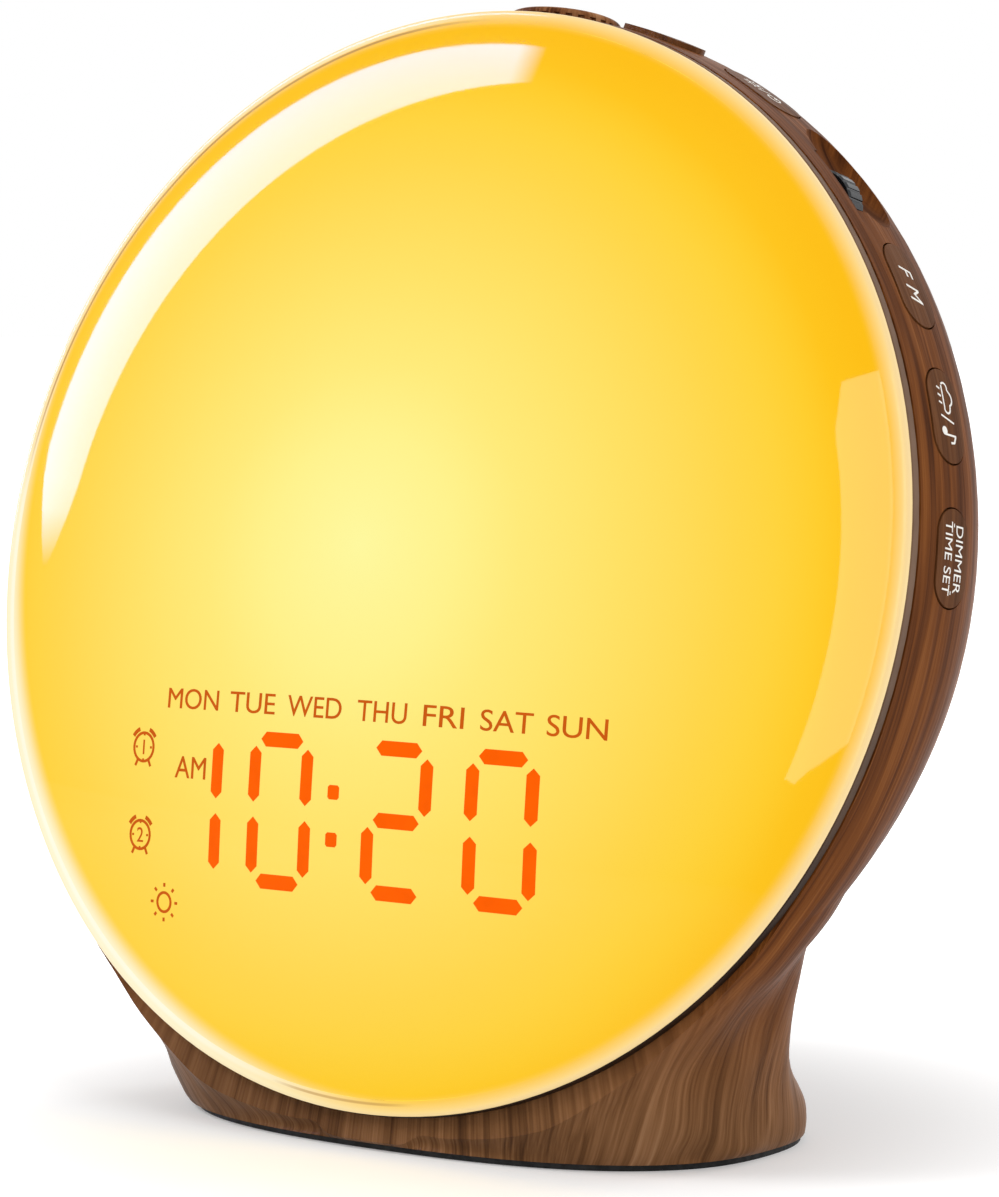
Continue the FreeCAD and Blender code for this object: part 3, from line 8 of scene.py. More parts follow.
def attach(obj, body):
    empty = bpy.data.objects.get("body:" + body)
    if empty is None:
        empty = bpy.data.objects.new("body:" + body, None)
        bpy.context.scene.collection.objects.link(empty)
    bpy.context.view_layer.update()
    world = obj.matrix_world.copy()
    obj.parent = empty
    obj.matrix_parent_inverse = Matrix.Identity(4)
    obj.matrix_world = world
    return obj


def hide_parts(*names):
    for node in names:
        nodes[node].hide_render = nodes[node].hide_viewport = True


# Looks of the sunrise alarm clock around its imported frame
# Metres in the scene; MM turns the millimetres of the sizes below into metres
# Face frame: u to the right, v up the leaning disc, w out of its front

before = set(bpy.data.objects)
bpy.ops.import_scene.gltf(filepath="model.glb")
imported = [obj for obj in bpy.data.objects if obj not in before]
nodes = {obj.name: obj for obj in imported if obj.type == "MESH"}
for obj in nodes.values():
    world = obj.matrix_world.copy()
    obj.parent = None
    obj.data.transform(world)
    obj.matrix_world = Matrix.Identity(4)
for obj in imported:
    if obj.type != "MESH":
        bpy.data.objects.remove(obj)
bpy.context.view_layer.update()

MM = 0.001
LEAN = math.radians(11.7)
CENTRE = Vector((0.0, -19.0, 90.5)) * MM
U = Vector((1.0, 0.0, 0.0))
V = Vector((0.0, math.sin(LEAN), math.cos(LEAN)))
N = Vector((0.0, -math.cos(LEAN), math.sin(LEAN)))

# Dome and clear edge ring
LENS_RADIUS = 86.0
RING_WIDTH = 2.3
RING_ROUND = 0.5
DOME_RISE = 10.0
SPHERE_RADIUS = 357.0
DOME_WALL = 2.0
EDGE_DEPTH = 1.5
SEAM = 0.02
DOME_STEPS = 22
RING_STEPS = 6

# Light of the face: clock angles in degrees, radii and distances in millimetres
GLOW_SIDE = -5.0
GLOW_TILT = 0.06
PALE_START = 82.8
PALE_END = 87.3
# Painted reflection: the pale edge turns whiter and reaches further in towards the lower left
PALE_REFLECTION_ANGLE = 235.0
PALE_REFLECTION_REACH = 3.2
SHADE_LINE_RADIUS = 84.35
SHADE_LINE_HALF = 0.3
SHADE_LINE_ANGLE = 318.0
SHADE_LINE_CORE = 0.1
SHADE_LINE_SHARE = 0.9
SHADE_LOWER_ANGLE = 182.0
UPPER_COSINES = (0.72, 0.88)
LOWER_COSINES = (0.985, 0.998)
LOWER_SHARE = 0.7
PALE_REFLECTION_DISTANCES = (40.0, 85.0)
# Radii of the painted highlight band along the ring's lower left
EDGE_HIGHLIGHT_RADII = (84.2, 85.0)
EDGE_BEYOND_RADII = (84.5, 84.9)
EDGE_DIM_RADII = (85.2, 86.0)
# Heights over which the bezel goes from painted shade below to painted light above
BEZEL_SHADE_HEIGHTS = (-60.0, 5.0)
FACE_BASE = 0.22
FACE_STRENGTH = 0.8
LIT_BASE = 0.05
LIT_ROUGHNESS = 0.3
LIT_SPECULAR = 0.02

# Camera at the photograph's viewing angle
CAMERA_PLACE = Vector((417.66, -567.47, 134.29)) * MM
CAMERA_PITCH = 90 - 4.191
CAMERA_TURN = 36.313
CAMERA_LENS = 134.87
CAMERA_SENSOR = 36.0

# Buttons round the band: angle clockwise from the top, and depth behind the rim plane
SNOOZE_ANGLE = 17.0
BUTTON_PITCH = 14.0
BUTTON_DEPTH = 11.5

# Wood streaks, in millimetres: they follow the rim on the band, run up and down the back,
# and stand round the neck's upright axis below the disc
BAND_RADIUS = 87.0
WAIST = 66.0
WAIST_HEIGHTS = (-64.0, -10.0)
NECK_MIDDLE = Vector((0.0, -6.0, 0.0)) * MM
NECK_RADIUS = 45.0
NECK_HEIGHTS = (-74.0, -50.0)
FOOT_TONE_HEIGHTS = (-86.0, -52.0)
SWAY = 6.0
SWAY_RATE = 0.012
SWAY_DEPTH_RATE = 0.05
FACE_DEPTH_SHARE = 0.04
SEED_STEP = 7.3
STREAK_STOPS = (0.34, 0.43, 0.51, 0.59, 0.68)
BACK_LIMITS = (0.35, 0.8)
FIBRE_LIMITS = (0.35, 0.65)
WOOD_ROUGHNESS = (0.42 * 1.15, 0.42 * 0.88)
WOOD_SPECULAR = 0.05
WOOD_BUMP = 0.05
FOOT_LIGHT_SIDE = (-25.0, 40.0)
FOOT_LIGHT_SHARE = 0.45
FOOT_LIGHT_TINT = (1.75, 1.85, 1.95, 1.0)

# Three layers of wood noise: rates per millimetre across and along, detail and roughness
STREAKS = (0.42, 0.014, 3.0, 0.55)
FIBRES = (1.9, 0.035, 2.0, 0.6)
TONES = (0.09, 0.008, 1.0, 0.5)
STREAK_SHARE = 0.46
FIBRE_SHARE = 0.3
TONE_SHARE = 0.24


def rgb(red, green, blue):
    """Linear colour from the eight-bit values that a picture shows."""
    def linear(value):
        value = value / 255
        return value / 12.92 if value <= 0.04045 else ((value + 0.055) / 1.055) ** 2.4
    return (linear(red), linear(green), linear(blue), 1.0)


def on_face(u, v, w):
    """Scene point of face-frame millimetres."""
    return CENTRE + (U * u + V * v + N * w) * MM


def dome_height(radius, sphere=SPHERE_RADIUS):
    return DOME_RISE - SPHERE_RADIUS + math.sqrt(sphere ** 2 - radius ** 2)


# Camera
def make_camera():
    data = bpy.data.cameras.new("camera")
    data.lens = CAMERA_LENS
    data.sensor_width = CAMERA_SENSOR
    data.sensor_fit = "AUTO"
    data.clip_start = 0.01
    data.clip_end = 50.0
    camera = bpy.data.objects.new("camera", data)
    camera.location = CAMERA_PLACE
    camera.rotation_euler = (math.radians(CAMERA_PITCH), 0.0, math.radians(CAMERA_TURN))
    bpy.context.scene.collection.objects.link(camera)
    bpy.context.scene.camera = camera


# Shader nodes
class Graph:
    """Adds and joins the nodes of one material."""

    def __init__(self, name):
        self.material = bpy.data.materials.new(name)
        self.material.use_nodes = True
        self.tree = self.material.node_tree
        self.tree.nodes.clear()
        self.output = self.tree.nodes.new("ShaderNodeOutputMaterial")
        self.shader = self.tree.nodes.new("ShaderNodeBsdfPrincipled")
        self.tree.links.new(self.shader.outputs[0], self.output.inputs["Surface"])
        self.place = self.tree.nodes.new("ShaderNodeTexCoord")

    def put(self, socket, value):
        if isinstance(value, bpy.types.NodeSocket):
            self.tree.links.new(value, socket)
        else:
            socket.default_value = value

    def set(self, name, value):
        self.put(self.shader.inputs[name], value)

    def maths(self, operation, first, second=0.0, third=0.0, clamp=False):
        node = self.tree.nodes.new("ShaderNodeMath")
        node.operation = operation
        node.use_clamp = clamp
        self.put(node.inputs[0], first)
        self.put(node.inputs[1], second)
        self.put(node.inputs[2], third)
        return node.outputs[0]

    def dot(self, vector, direction):
        node = self.tree.nodes.new("ShaderNodeVectorMath")
        node.operation = "DOT_PRODUCT"
        self.put(node.inputs[0], vector)
        node.inputs[1].default_value = direction
        return node.outputs["Value"]

    def length(self, first, second):
        squares = self.maths("MULTIPLY_ADD", second, second, self.maths("MULTIPLY", first, first))
        return self.maths("SQRT", squares)

    def towards(self, u, v, angle):
        """How far u and v reach in the direction of a clock angle in degrees."""
        turn = math.radians(angle)
        return self.maths("MULTIPLY_ADD", u, math.sin(turn), self.maths("MULTIPLY", v, math.cos(turn)))

    def minus(self, vector, offset):
        node = self.tree.nodes.new("ShaderNodeVectorMath")
        node.operation = "SUBTRACT"
        self.put(node.inputs[0], vector)
        node.inputs[1].default_value = offset
        return node.outputs[0]

    def combine(self, x, y, z):
        node = self.tree.nodes.new("ShaderNodeCombineXYZ")
        for socket, value in zip(node.inputs, (x, y, z)):
            self.put(socket, value)
        return node.outputs[0]

    def face_spot(self):
        """The u, v and w of the shaded point, in millimetres."""
        spot = self.minus(self.place.outputs["Object"], CENTRE)
        return tuple(self.dot(spot, axis / MM) for axis in (U, V, N))

    def noise(self, vector, scale, detail=2.0, roughness=0.5):
        node = self.tree.nodes.new("ShaderNodeTexNoise")
        self.put(node.inputs["Vector"], vector)
        node.inputs["Scale"].default_value = scale
        node.inputs["Detail"].default_value = detail
        node.inputs["Roughness"].default_value = roughness
        return node.outputs[0]

    def ramp(self, factor, stops):
        node = self.tree.nodes.new("ShaderNodeValToRGB")
        while len(node.color_ramp.elements) < len(stops):
            node.color_ramp.elements.new(0.5)
        for element, (place, colour) in zip(node.color_ramp.elements, stops):
            element.position = place
            element.color = colour
        self.put(node.inputs[0], factor)
        return node.outputs[0]

    def smooth(self, value, low, high, start=0.0, end=1.0):
        node = self.tree.nodes.new("ShaderNodeMapRange")
        node.interpolation_type = "SMOOTHSTEP"
        self.put(node.inputs["Value"], value)
        for name, number in (("From Min", low), ("From Max", high), ("To Min", start), ("To Max", end)):
            node.inputs[name].default_value = number
        return node.outputs[0]

    def mix(self, factor, first, second, blend="MIX"):
        node = self.tree.nodes.new("ShaderNodeMix")
        node.data_type = "RGBA"
        node.blend_type = blend
        sockets = {(s.name, s.type): s for s in node.inputs}
        self.put(sockets[("Factor", "VALUE")], factor)
        self.put(sockets[("A", "RGBA")], first)
        self.put(sockets[("B", "RGBA")], second)
        return next(s for s in node.outputs if s.type == "RGBA")

    def bump(self, height, distance, strength=1.0):
        node = self.tree.nodes.new("ShaderNodeBump")
        node.inputs["Distance"].default_value = distance * MM
        node.inputs["Strength"].default_value = strength
        self.put(node.inputs["Height"], height)
        self.set("Normal", node.outputs[0])


# Moulded and painted finishes, with noise scales per metre
GRAIN_SCALE = 900.0
CLOUD_SCALE = 75.0
BEZEL_CLOUD_SCALE = 120.0
NOISE_LIMITS = (0.3, 0.7)
BEZEL_ROUGHNESS = (0.4, 0.5)
BEZEL_SPECULAR = 0.1
BEZEL_BUMP = 0.02


def plain(name, colour, roughness, spread=0.12, grain=0.03, metallic=0.0):
    """Moulded or rolled finish: a colour with faint cloudiness and a fine surface grain."""
    g = Graph(name)
    spot = g.place.outputs["Object"]
    clouds = g.noise(spot, CLOUD_SCALE, 3.0)
    low = tuple(part * (1 - spread) for part in colour[:3]) + (1.0,)
    high = tuple(min(1.0, part * (1 + spread)) for part in colour[:3]) + (1.0,)
    g.set("Base Color", g.ramp(clouds, [(0.3, low), (0.7, high)]))
    fine = g.noise(spot, GRAIN_SCALE, 2.0)
    g.set("Roughness", g.smooth(fine, *NOISE_LIMITS, roughness * 0.88, min(1.0, roughness * 1.12)))
    g.set("Metallic", metallic)
    g.bump(fine, grain)
    return g.material


def wood(name, band_colours, foot_colours, contrast=1.0):
    """Wood look: streaks along the band's rim, up and down the back and round the neck."""
    g = Graph(name)
    u, v, w = g.face_spot()
    waist = g.smooth(v, *WAIST_HEIGHTS, WAIST, BAND_RADIUS)
    across = g.maths("DIVIDE", g.maths("MULTIPLY", u, BAND_RADIUS), waist)
    sway = g.noise(g.combine(g.maths("MULTIPLY", u, SWAY_RATE), g.maths("MULTIPLY", v, SWAY_RATE),
                             g.maths("MULTIPLY", w, SWAY_DEPTH_RATE)), 1.0, 2.0)
    sway = g.maths("MULTIPLY", g.maths("SUBTRACT", sway, 0.5), SWAY)
    depth = g.maths("ADD", w, sway)
    across = g.maths("ADD", across, sway)
    facing = g.smooth(g.maths("ABSOLUTE", g.dot(g.place.outputs["Normal"], N)), *BACK_LIMITS)
    above = g.smooth(v, *NECK_HEIGHTS)
    spot = g.minus(g.place.outputs["Object"], NECK_MIDDLE)
    side, back = (g.dot(spot, axis / MM) for axis in (U, Vector((0.0, 1.0, 0.0))))
    reach = g.maths("MAXIMUM", g.length(side, back), 1.0)
    round_x = g.maths("MULTIPLY_ADD", g.maths("DIVIDE", side, reach), NECK_RADIUS, sway)
    round_y = g.maths("MULTIPLY", g.maths("DIVIDE", back, reach), NECK_RADIUS)

    def blend(first, second, share):
        return g.maths("ADD", g.maths("MULTIPLY", second, share),
                       g.maths("MULTIPLY", first, g.maths("SUBTRACT", 1.0, share)))

    def layer(cross, along, detail, roughen, seed):
        """Noise drawn out along the streaks, with its rates per millimetre across and along."""
        band = g.combine(g.maths("MULTIPLY_ADD", depth, cross, seed), g.maths("MULTIPLY", u, along),
                         g.maths("MULTIPLY", v, along))
        face = g.combine(g.maths("MULTIPLY_ADD", across, cross, seed), g.maths("MULTIPLY", v, along),
                         g.maths("MULTIPLY", w, cross * FACE_DEPTH_SHARE))
        neck = g.combine(g.maths("MULTIPLY_ADD", round_x, cross, seed), g.maths("MULTIPLY", round_y, cross),
                         g.maths("MULTIPLY", v, along))
        band, face, neck = (g.noise(place, 1.0, detail, roughen) for place in (band, face, neck))
        return blend(neck, blend(band, face, facing), above)

    streaks = layer(*STREAKS, 0.0)
    fibres = layer(*FIBRES, SEED_STEP)
    tones = layer(*TONES, 2 * SEED_STEP)
    value = g.maths("ADD", g.maths("MULTIPLY", streaks, STREAK_SHARE),
                    g.maths("ADD", g.maths("MULTIPLY", fibres, FIBRE_SHARE),
                            g.maths("MULTIPLY", tones, TONE_SHARE)))
    value = g.maths("MULTIPLY_ADD", g.maths("SUBTRACT", value, 0.5), contrast, 0.5)
    band = g.ramp(value, list(zip(STREAK_STOPS, band_colours)))
    foot = g.ramp(value, list(zip(STREAK_STOPS, foot_colours)))
    lighter = g.smooth(u, *FOOT_LIGHT_SIDE, 0.0, FOOT_LIGHT_SHARE)
    foot = g.mix(lighter, foot, g.mix(1.0, foot, FOOT_LIGHT_TINT, "MULTIPLY"))
    g.set("Base Color", g.mix(g.smooth(v, *FOOT_TONE_HEIGHTS), foot, band))
    g.set("Roughness", g.smooth(fibres, *FIBRE_LIMITS, *WOOD_ROUGHNESS))
    g.shader.inputs["Specular IOR Level"].default_value = WOOD_SPECULAR
    g.bump(g.maths("ADD", streaks, g.maths("MULTIPLY", fibres, 0.5)), WOOD_BUMP)
    return g.material


def bezel_look():
    """Ring in brown paint, with painted light on its upper side and painted shade that turns it near black
    below.
    """
    g = Graph("bezel_paint_and_shade")
    u, v, w = g.face_spot()
    cloud = g.noise(g.place.outputs["Object"], BEZEL_CLOUD_SCALE, 3.0)
    upper = g.mix(g.smooth(cloud, *NOISE_LIMITS), rgb(108, 82, 64), rgb(124, 98, 80))
    lower = g.mix(g.smooth(cloud, *NOISE_LIMITS), rgb(30, 18, 10), rgb(44, 28, 18))
    # Painted light and shade: brown on the upper side, near black below
    g.set("Base Color", g.mix(g.smooth(v, *BEZEL_SHADE_HEIGHTS), lower, upper))
    g.set("Roughness", g.smooth(cloud, *NOISE_LIMITS, *BEZEL_ROUGHNESS))
    g.shader.inputs["Specular IOR Level"].default_value = BEZEL_SPECULAR
    g.bump(g.noise(g.place.outputs["Object"], GRAIN_SCALE, 2.0), BEZEL_BUMP)
    return g.material


def face_light(g):
    """Colour of the lit face, with u, v, the radius and the share of the lower left, where a painted
    reflection makes the pale edge whiter and wider.
    """
    u, v, w = g.face_spot()
    away = g.length(g.maths("SUBTRACT", u, GLOW_SIDE), v)
    away = g.maths("MULTIPLY_ADD", v, GLOW_TILT, away)
    field = g.ramp(g.maths("DIVIDE", away, 100.0), [
        (0.0, rgb(252, 246, 156)), (0.18, rgb(253, 240, 138)), (0.3, rgb(253, 232, 119)),
        (0.45, rgb(254, 224, 100)), (0.55, rgb(254, 218, 86)), (0.65, rgb(253, 212, 68)),
        (0.72, rgb(253, 209, 54)), (0.78, rgb(253, 203, 36)), (0.83, rgb(252, 194, 10)),
        (0.88, rgb(251, 189, 0)),
    ])
    radius = g.length(u, v)
    # Painted reflection: towards the lower left the pale edge is whiter and reaches further in
    left = g.smooth(g.towards(u, v, PALE_REFLECTION_ANGLE), *PALE_REFLECTION_DISTANCES)
    pale_and_reflection = g.mix(left, rgb(253, 230, 172), rgb(254, 245, 210))
    reach = g.maths("MULTIPLY_ADD", left, PALE_REFLECTION_REACH, radius)
    return g.mix(g.smooth(reach, PALE_START, PALE_END), field, pale_and_reflection), u, v, radius, left


def shine(g, shade, base, strength, roughness, specular=0.12):
    """Glowing finish: the shade as its own light, over a darker base of the same colour."""
    g.set("Base Color", g.mix(1.0, shade, (base, base, base, 1.0), "MULTIPLY"))
    g.set("Emission Color", shade)
    g.shader.inputs["Emission Strength"].default_value = strength
    g.shader.inputs["Roughness"].default_value = roughness
    g.shader.inputs["Specular IOR Level"].default_value = specular


def glow():
    """Lit dome: bright left of its middle, amber to the upper right, pale at its edge, and whiter at its
    lower left edge as a painted reflection.
    """
    g = Graph("dome_glow")
    shade = face_light(g)[0]
    patch = g.noise(g.place.outputs["Object"], 25.0, 2.0)
    shade = g.mix(g.smooth(patch, 0.35, 0.65, 0.0, 0.04), shade, rgb(255, 214, 70))
    shine(g, shade, FACE_BASE, FACE_STRENGTH, 0.02)
    return g.material


def edge_glow():
    """Clear edge ring that carries the dome's light, with a painted highlight along its lower left and a
    line of painted shade at its upper left, fainter at its bottom.
    """
    g = Graph("edge_glow")
    shade, u, v, radius, left = face_light(g)
    # Painted highlight: a bright band along the ring's lower left
    painted_highlight = g.maths("MULTIPLY", g.smooth(radius, *EDGE_HIGHLIGHT_RADII, 1.0, 0.0), left)
    shade = g.mix(painted_highlight, shade, rgb(255, 251, 228))
    # Painted shade: a dark line round the ring at its upper left and, fainter, at its bottom
    upper = g.smooth(g.maths("DIVIDE", g.towards(u, v, SHADE_LINE_ANGLE), radius), *UPPER_COSINES)
    lower = g.smooth(g.maths("DIVIDE", g.towards(u, v, SHADE_LOWER_ANGLE), radius), *LOWER_COSINES,
                     0.0, LOWER_SHARE)
    shaded = g.maths("MAXIMUM", upper, lower)
    off = g.maths("ABSOLUTE", g.maths("SUBTRACT", radius, SHADE_LINE_RADIUS))
    line = g.maths("MULTIPLY", g.smooth(off, SHADE_LINE_CORE, SHADE_LINE_HALF, SHADE_LINE_SHARE, 0.0),
                   shaded)
    beyond = g.maths("MULTIPLY", g.smooth(radius, *EDGE_BEYOND_RADII), upper)
    shade = g.mix(beyond, shade, rgb(250, 226, 166))
    shade = g.mix(line, shade, rgb(186, 138, 70))
    shade = g.mix(g.smooth(radius, *EDGE_DIM_RADII, 0.0, 0.35), shade, rgb(238, 208, 160))
    ripple = g.noise(g.place.outputs["Object"], 60.0, 2.0)
    shade = g.mix(g.smooth(ripple, 0.3, 0.7, 0.0, 0.08), shade, rgb(255, 226, 150))
    shine(g, shade, FACE_BASE, FACE_STRENGTH, 0.08)
    return g.material


def lit(name, colour, strength):
    """Glowing bars and signs, a touch uneven."""
    g = Graph(name)
    cloud = g.noise(g.place.outputs["Object"], 300.0, 2.0)
    dim = tuple(part * 0.93 for part in colour[:3]) + (1.0,)
    shade = g.ramp(cloud, [(0.35, dim), (0.6, colour)])
    shine(g, shade, LIT_BASE, strength, LIT_ROUGHNESS, LIT_SPECULAR)
    return g.material


# Mesh helpers
def new_piece(name, points, faces, material, body, smooth_angle=None):
    mesh = bpy.data.meshes.new(name)
    mesh.from_pydata([tuple(point) for point in points], [], faces)
    mesh.validate()
    mesh.update()
    piece = bpy.data.objects.new(name, mesh)
    bpy.context.scene.collection.objects.link(piece)
    mesh.materials.append(material)
    if smooth_angle is not None:
        mesh.polygons.foreach_set("use_smooth", [True] * len(mesh.polygons))
        mesh.set_sharp_from_angle(angle=math.radians(smooth_angle))
    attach(piece, body)
    return piece


LATHE_SEGMENTS = 192
SMOOTH_ANGLE = 35


def lathe(name, profile, material):
    """Closed ring or disc turned about the face's axis from radius and depth pairs."""
    points, rows = [], []
    for radius, depth in profile:
        if radius == 0:
            rows.append([len(points)])
            points.append(on_face(0, 0, depth))
            continue
        rows.append(list(range(len(points), len(points) + LATHE_SEGMENTS)))
        for index in range(LATHE_SEGMENTS):
            turn = 2 * math.pi * index / LATHE_SEGMENTS
            points.append(on_face(radius * math.sin(turn), radius * math.cos(turn), depth))
    faces = []
    pairs = list(zip(rows, rows[1:]))
    if len(rows[0]) > 1 and len(rows[-1]) > 1:
        pairs.append((rows[-1], rows[0]))
    for first, second in pairs:
        for index in range(LATHE_SEGMENTS):
            after = (index + 1) % LATHE_SEGMENTS
            if len(first) == 1:
                faces.append((first[0], second[index], second[after]))
            elif len(second) == 1:
                faces.append((first[index], second[0], first[after]))
            else:
                faces.append((first[index], second[index], second[after], first[after]))
    return new_piece(name, points, faces, material, "clock", SMOOTH_ANGLE)


def slab(name, drawing, place, thick, material, body):
    """Thin raised sign: flat faces in millimetres laid on a surface by place(x, y, height)."""
    flat, faces = drawing
    count = len(flat)
    points = [place(x, y, thick) for x, y in flat] + [place(x, y, -thick) for x, y in flat]
    solid = [tuple(face) for face in faces]
    solid += [tuple(index + count for index in reversed(face)) for face in faces]
    used = {}
    for face in faces:
        for first, second in zip(face, face[1:] + face[:1]):
            used[(first, second)] = used.get((first, second), 0) + 1
    for first, second in used:
        if (second, first) not in used:
            solid.append((second, first, first + count, second + count))
    return new_piece(name, points, solid, material, body)


def join(*drawings):
    points, faces = [], []
    for flat, parts in drawings:
        start = len(points)
        points += flat
        faces += [[index + start for index in face] for face in parts]
    return points, faces


def moved(drawing, x, y):
    flat, faces = drawing
    return [(px + x, py + y) for px, py in flat], faces


def polygon(points):
    return list(points), [list(range(len(points)))]


def stroke(points, width, closed=False):
    """Ribbon of even width along a line of points."""
    count = len(points)
    left, right = [], []
    for index, (x, y) in enumerate(points):
        before = points[index - 1] if index or closed else points[index]
        after = points[(index + 1) % count] if index + 1 < count or closed else points[index]
        run = Vector((after[0] - before[0], after[1] - before[1])).normalized()
        side = Vector((-run.y, run.x)) * width / 2
        left.append((x + side.x, y + side.y))
        right.append((x - side.x, y - side.y))
    faces = []
    for index in range(count if closed else count - 1):
        after = (index + 1) % count
        faces.append([index, index + count, after + count, after])
    return left + right, faces


def arc(x, y, radius, start, end, steps=20):
    """Points from one clock angle to another, in degrees clockwise from the top."""
    points = []
    for index in range(steps + 1):
        turn = math.radians(start + (end - start) * index / steps)
        points.append((x + radius * math.sin(turn), y + radius * math.cos(turn)))
    return points


def circle(x, y, radius, width, steps=28):
    return stroke(arc(x, y, radius, 0, 360, steps)[:-1], width, closed=True)


def dot(x, y, radius):
    return polygon(list(reversed(arc(x, y, radius, 0, 360, 12)[:-1])))


def words(text, height, width=None, slant=0.0):
    """Flat letters on a base line from the origin, with a capital height and a total width."""
    curve = bpy.data.curves.new("words", "FONT")
    curve.body = text
    curve.shear = slant
    curve.resolution_u = 5
    holder = bpy.data.objects.new("words", curve)
    bpy.context.scene.collection.objects.link(holder)
    bpy.context.view_layer.update()
    mesh = bpy.data.meshes.new_from_object(holder.evaluated_get(bpy.context.evaluated_depsgraph_get()))
    flat = [(point.co.x, point.co.y) for point in mesh.vertices]
    faces = []
    for face in mesh.polygons:
        ring = list(face.vertices)
        faces.append(ring if face.normal.z > 0 else ring[::-1])
    bpy.data.objects.remove(holder)
    bpy.data.curves.remove(curve)
    bpy.data.meshes.remove(mesh)
    low_x, high_x = min(x for x, y in flat), max(x for x, y in flat)
    low_y, high_y = min(y for x, y in flat), max(y for x, y in flat)
    tall = height / (high_y - low_y)
    wide = tall if width is None else width / (high_x - low_x)
    return [((x - low_x) * wide, (y - low_y) * tall) for x, y in flat], faces


def on_dome(x, y, height):
    return on_face(x, y, dome_height(math.hypot(x, y)) + height)


# Dome, edge ring and what shows through the dome
def make_dome():
    edge = LENS_RADIUS - RING_WIDTH - SEAM
    inner_sphere = SPHERE_RADIUS - DOME_WALL
    foot = math.sqrt(inner_sphere ** 2 - (DOME_RISE - SPHERE_RADIUS + EDGE_DEPTH) ** 2)
    outside = [edge * index / DOME_STEPS for index in range(DOME_STEPS + 1)]
    inside = [foot * (1 - index / DOME_STEPS) for index in range(DOME_STEPS + 1)]
    profile = [(radius, dome_height(radius)) for radius in outside]
    profile.append((edge, -EDGE_DEPTH))
    profile += [(radius, dome_height(radius, inner_sphere)) for radius in inside]
    dome = lathe("dome", profile, glow())
    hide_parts("diffuser_dome")


def make_edge_ring():
    inner = LENS_RADIUS - RING_WIDTH
    round_centre = LENS_RADIUS - RING_ROUND
    profile = []
    for index in range(RING_STEPS + 1):
        radius = inner + (RING_WIDTH - RING_ROUND) * index / RING_STEPS
        profile.append((radius, dome_height(radius)))
    top = dome_height(round_centre) - RING_ROUND
    for index in range(1, RING_STEPS + 1):
        turn = math.pi / 2 * index / RING_STEPS
        profile.append((round_centre + RING_ROUND * math.sin(turn), top + RING_ROUND * math.cos(turn)))
    profile.append((LENS_RADIUS, -EDGE_DEPTH))
    profile.append((inner, -EDGE_DEPTH))
    ring = lathe("edge_ring", profile, edge_glow())
    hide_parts("lens_ring")


SIGN_LIFT = 0.06
BAR_HALF = 4.3
BAR_WIDTH = 2.3
DIGIT_HALF_WIDTH = 5.31
DIGIT_MIDDLE = -41.7
DIGIT_RISE = 10.9
DIGIT_CENTRES = (-34.9, -16.25, 6.72, 25.63)
DIGIT_BARS = ("bc", "abcdef", "abged", "abcdef")
DIGIT_LEAN = 0.013
COLON_PLACE = -5.5
COLON_OFFSET = 3.6
COLON_HALF = 1.1
COLON_CUT = 0.33


def bar(x, y, across):
    """Pointed bar of a digit, lying across or standing."""
    half, wide = BAR_HALF, BAR_WIDTH / 2
    tip = wide * 0.9
    outline = [(-half, 0), (-half + tip, -wide), (half - tip, -wide), (half, 0), (half - tip, wide),
               (-half + tip, wide)]
    if not across:
        outline = [(-b, a) for a, b in outline]
    return polygon([(x + a, y + b) for a, b in outline])


def make_digits(material):
    rise = DIGIT_RISE
    places = {
        "a": (0, rise, True), "g": (0, 0, True), "d": (0, -rise, True),
        "f": (-DIGIT_HALF_WIDTH, rise / 2, False), "b": (DIGIT_HALF_WIDTH, rise / 2, False),
        "e": (-DIGIT_HALF_WIDTH, -rise / 2, False), "c": (DIGIT_HALF_WIDTH, -rise / 2, False),
    }
    bars = []
    for centre, shape in zip(DIGIT_CENTRES, DIGIT_BARS):
        for name in shape:
            x, y, across = places[name]
            bars.append(bar(centre + x - DIGIT_LEAN * y, DIGIT_MIDDLE + y, across))
    half, flat = COLON_HALF, COLON_HALF - COLON_CUT
    corners = [(-half, -flat), (-flat, -half), (flat, -half), (half, -flat),
               (half, flat), (flat, half), (-flat, half), (-half, flat)]
    for side in (1, -1):
        middle = DIGIT_MIDDLE + side * COLON_OFFSET
        bars.append(polygon([(COLON_PLACE + x, middle + y) for x, y in corners]))
    slab("time_bars", join(*bars), on_dome, SIGN_LIFT, material, "clock")


# Signs beside the time: words with their left and right ends, and places of the small signs
WEEKDAYS = (("MON", -41.6, -30.4), ("TUE", -27.9, -18.4), ("WED", -15.8, -5.0), ("THU", -1.9, 7.5),
            ("FRI", 10.6, 18.0), ("SAT", 21.0, 30.2), ("SUN", 32.6, 42.8))
WEEKDAY_BASE = -27.0
WEEKDAY_HEIGHT = 3.2
HALF_DAY = ("AM", -39.0, -32.2, -37.8)
HALF_DAY_HEIGHT = 3.4
ALARM_PLACES = (("1", -46.5, -33.4), ("2", -46.3, -47.2))
SUN_PLACE = (-40.3, -57.4)
LINE = 0.44
THIN_LINE = LINE * 0.8
ALARM_RING = 2.25
ALARM_FIGURE = 2.3
ALARM_MARK = 0.45
BELL_GAP = 0.75
BELL_THICK = 0.62
BELL_ANGLES = (22, 56)
SUN_RAYS = 8
RAY_IN = 0.35
RAY_OUT = 0.25


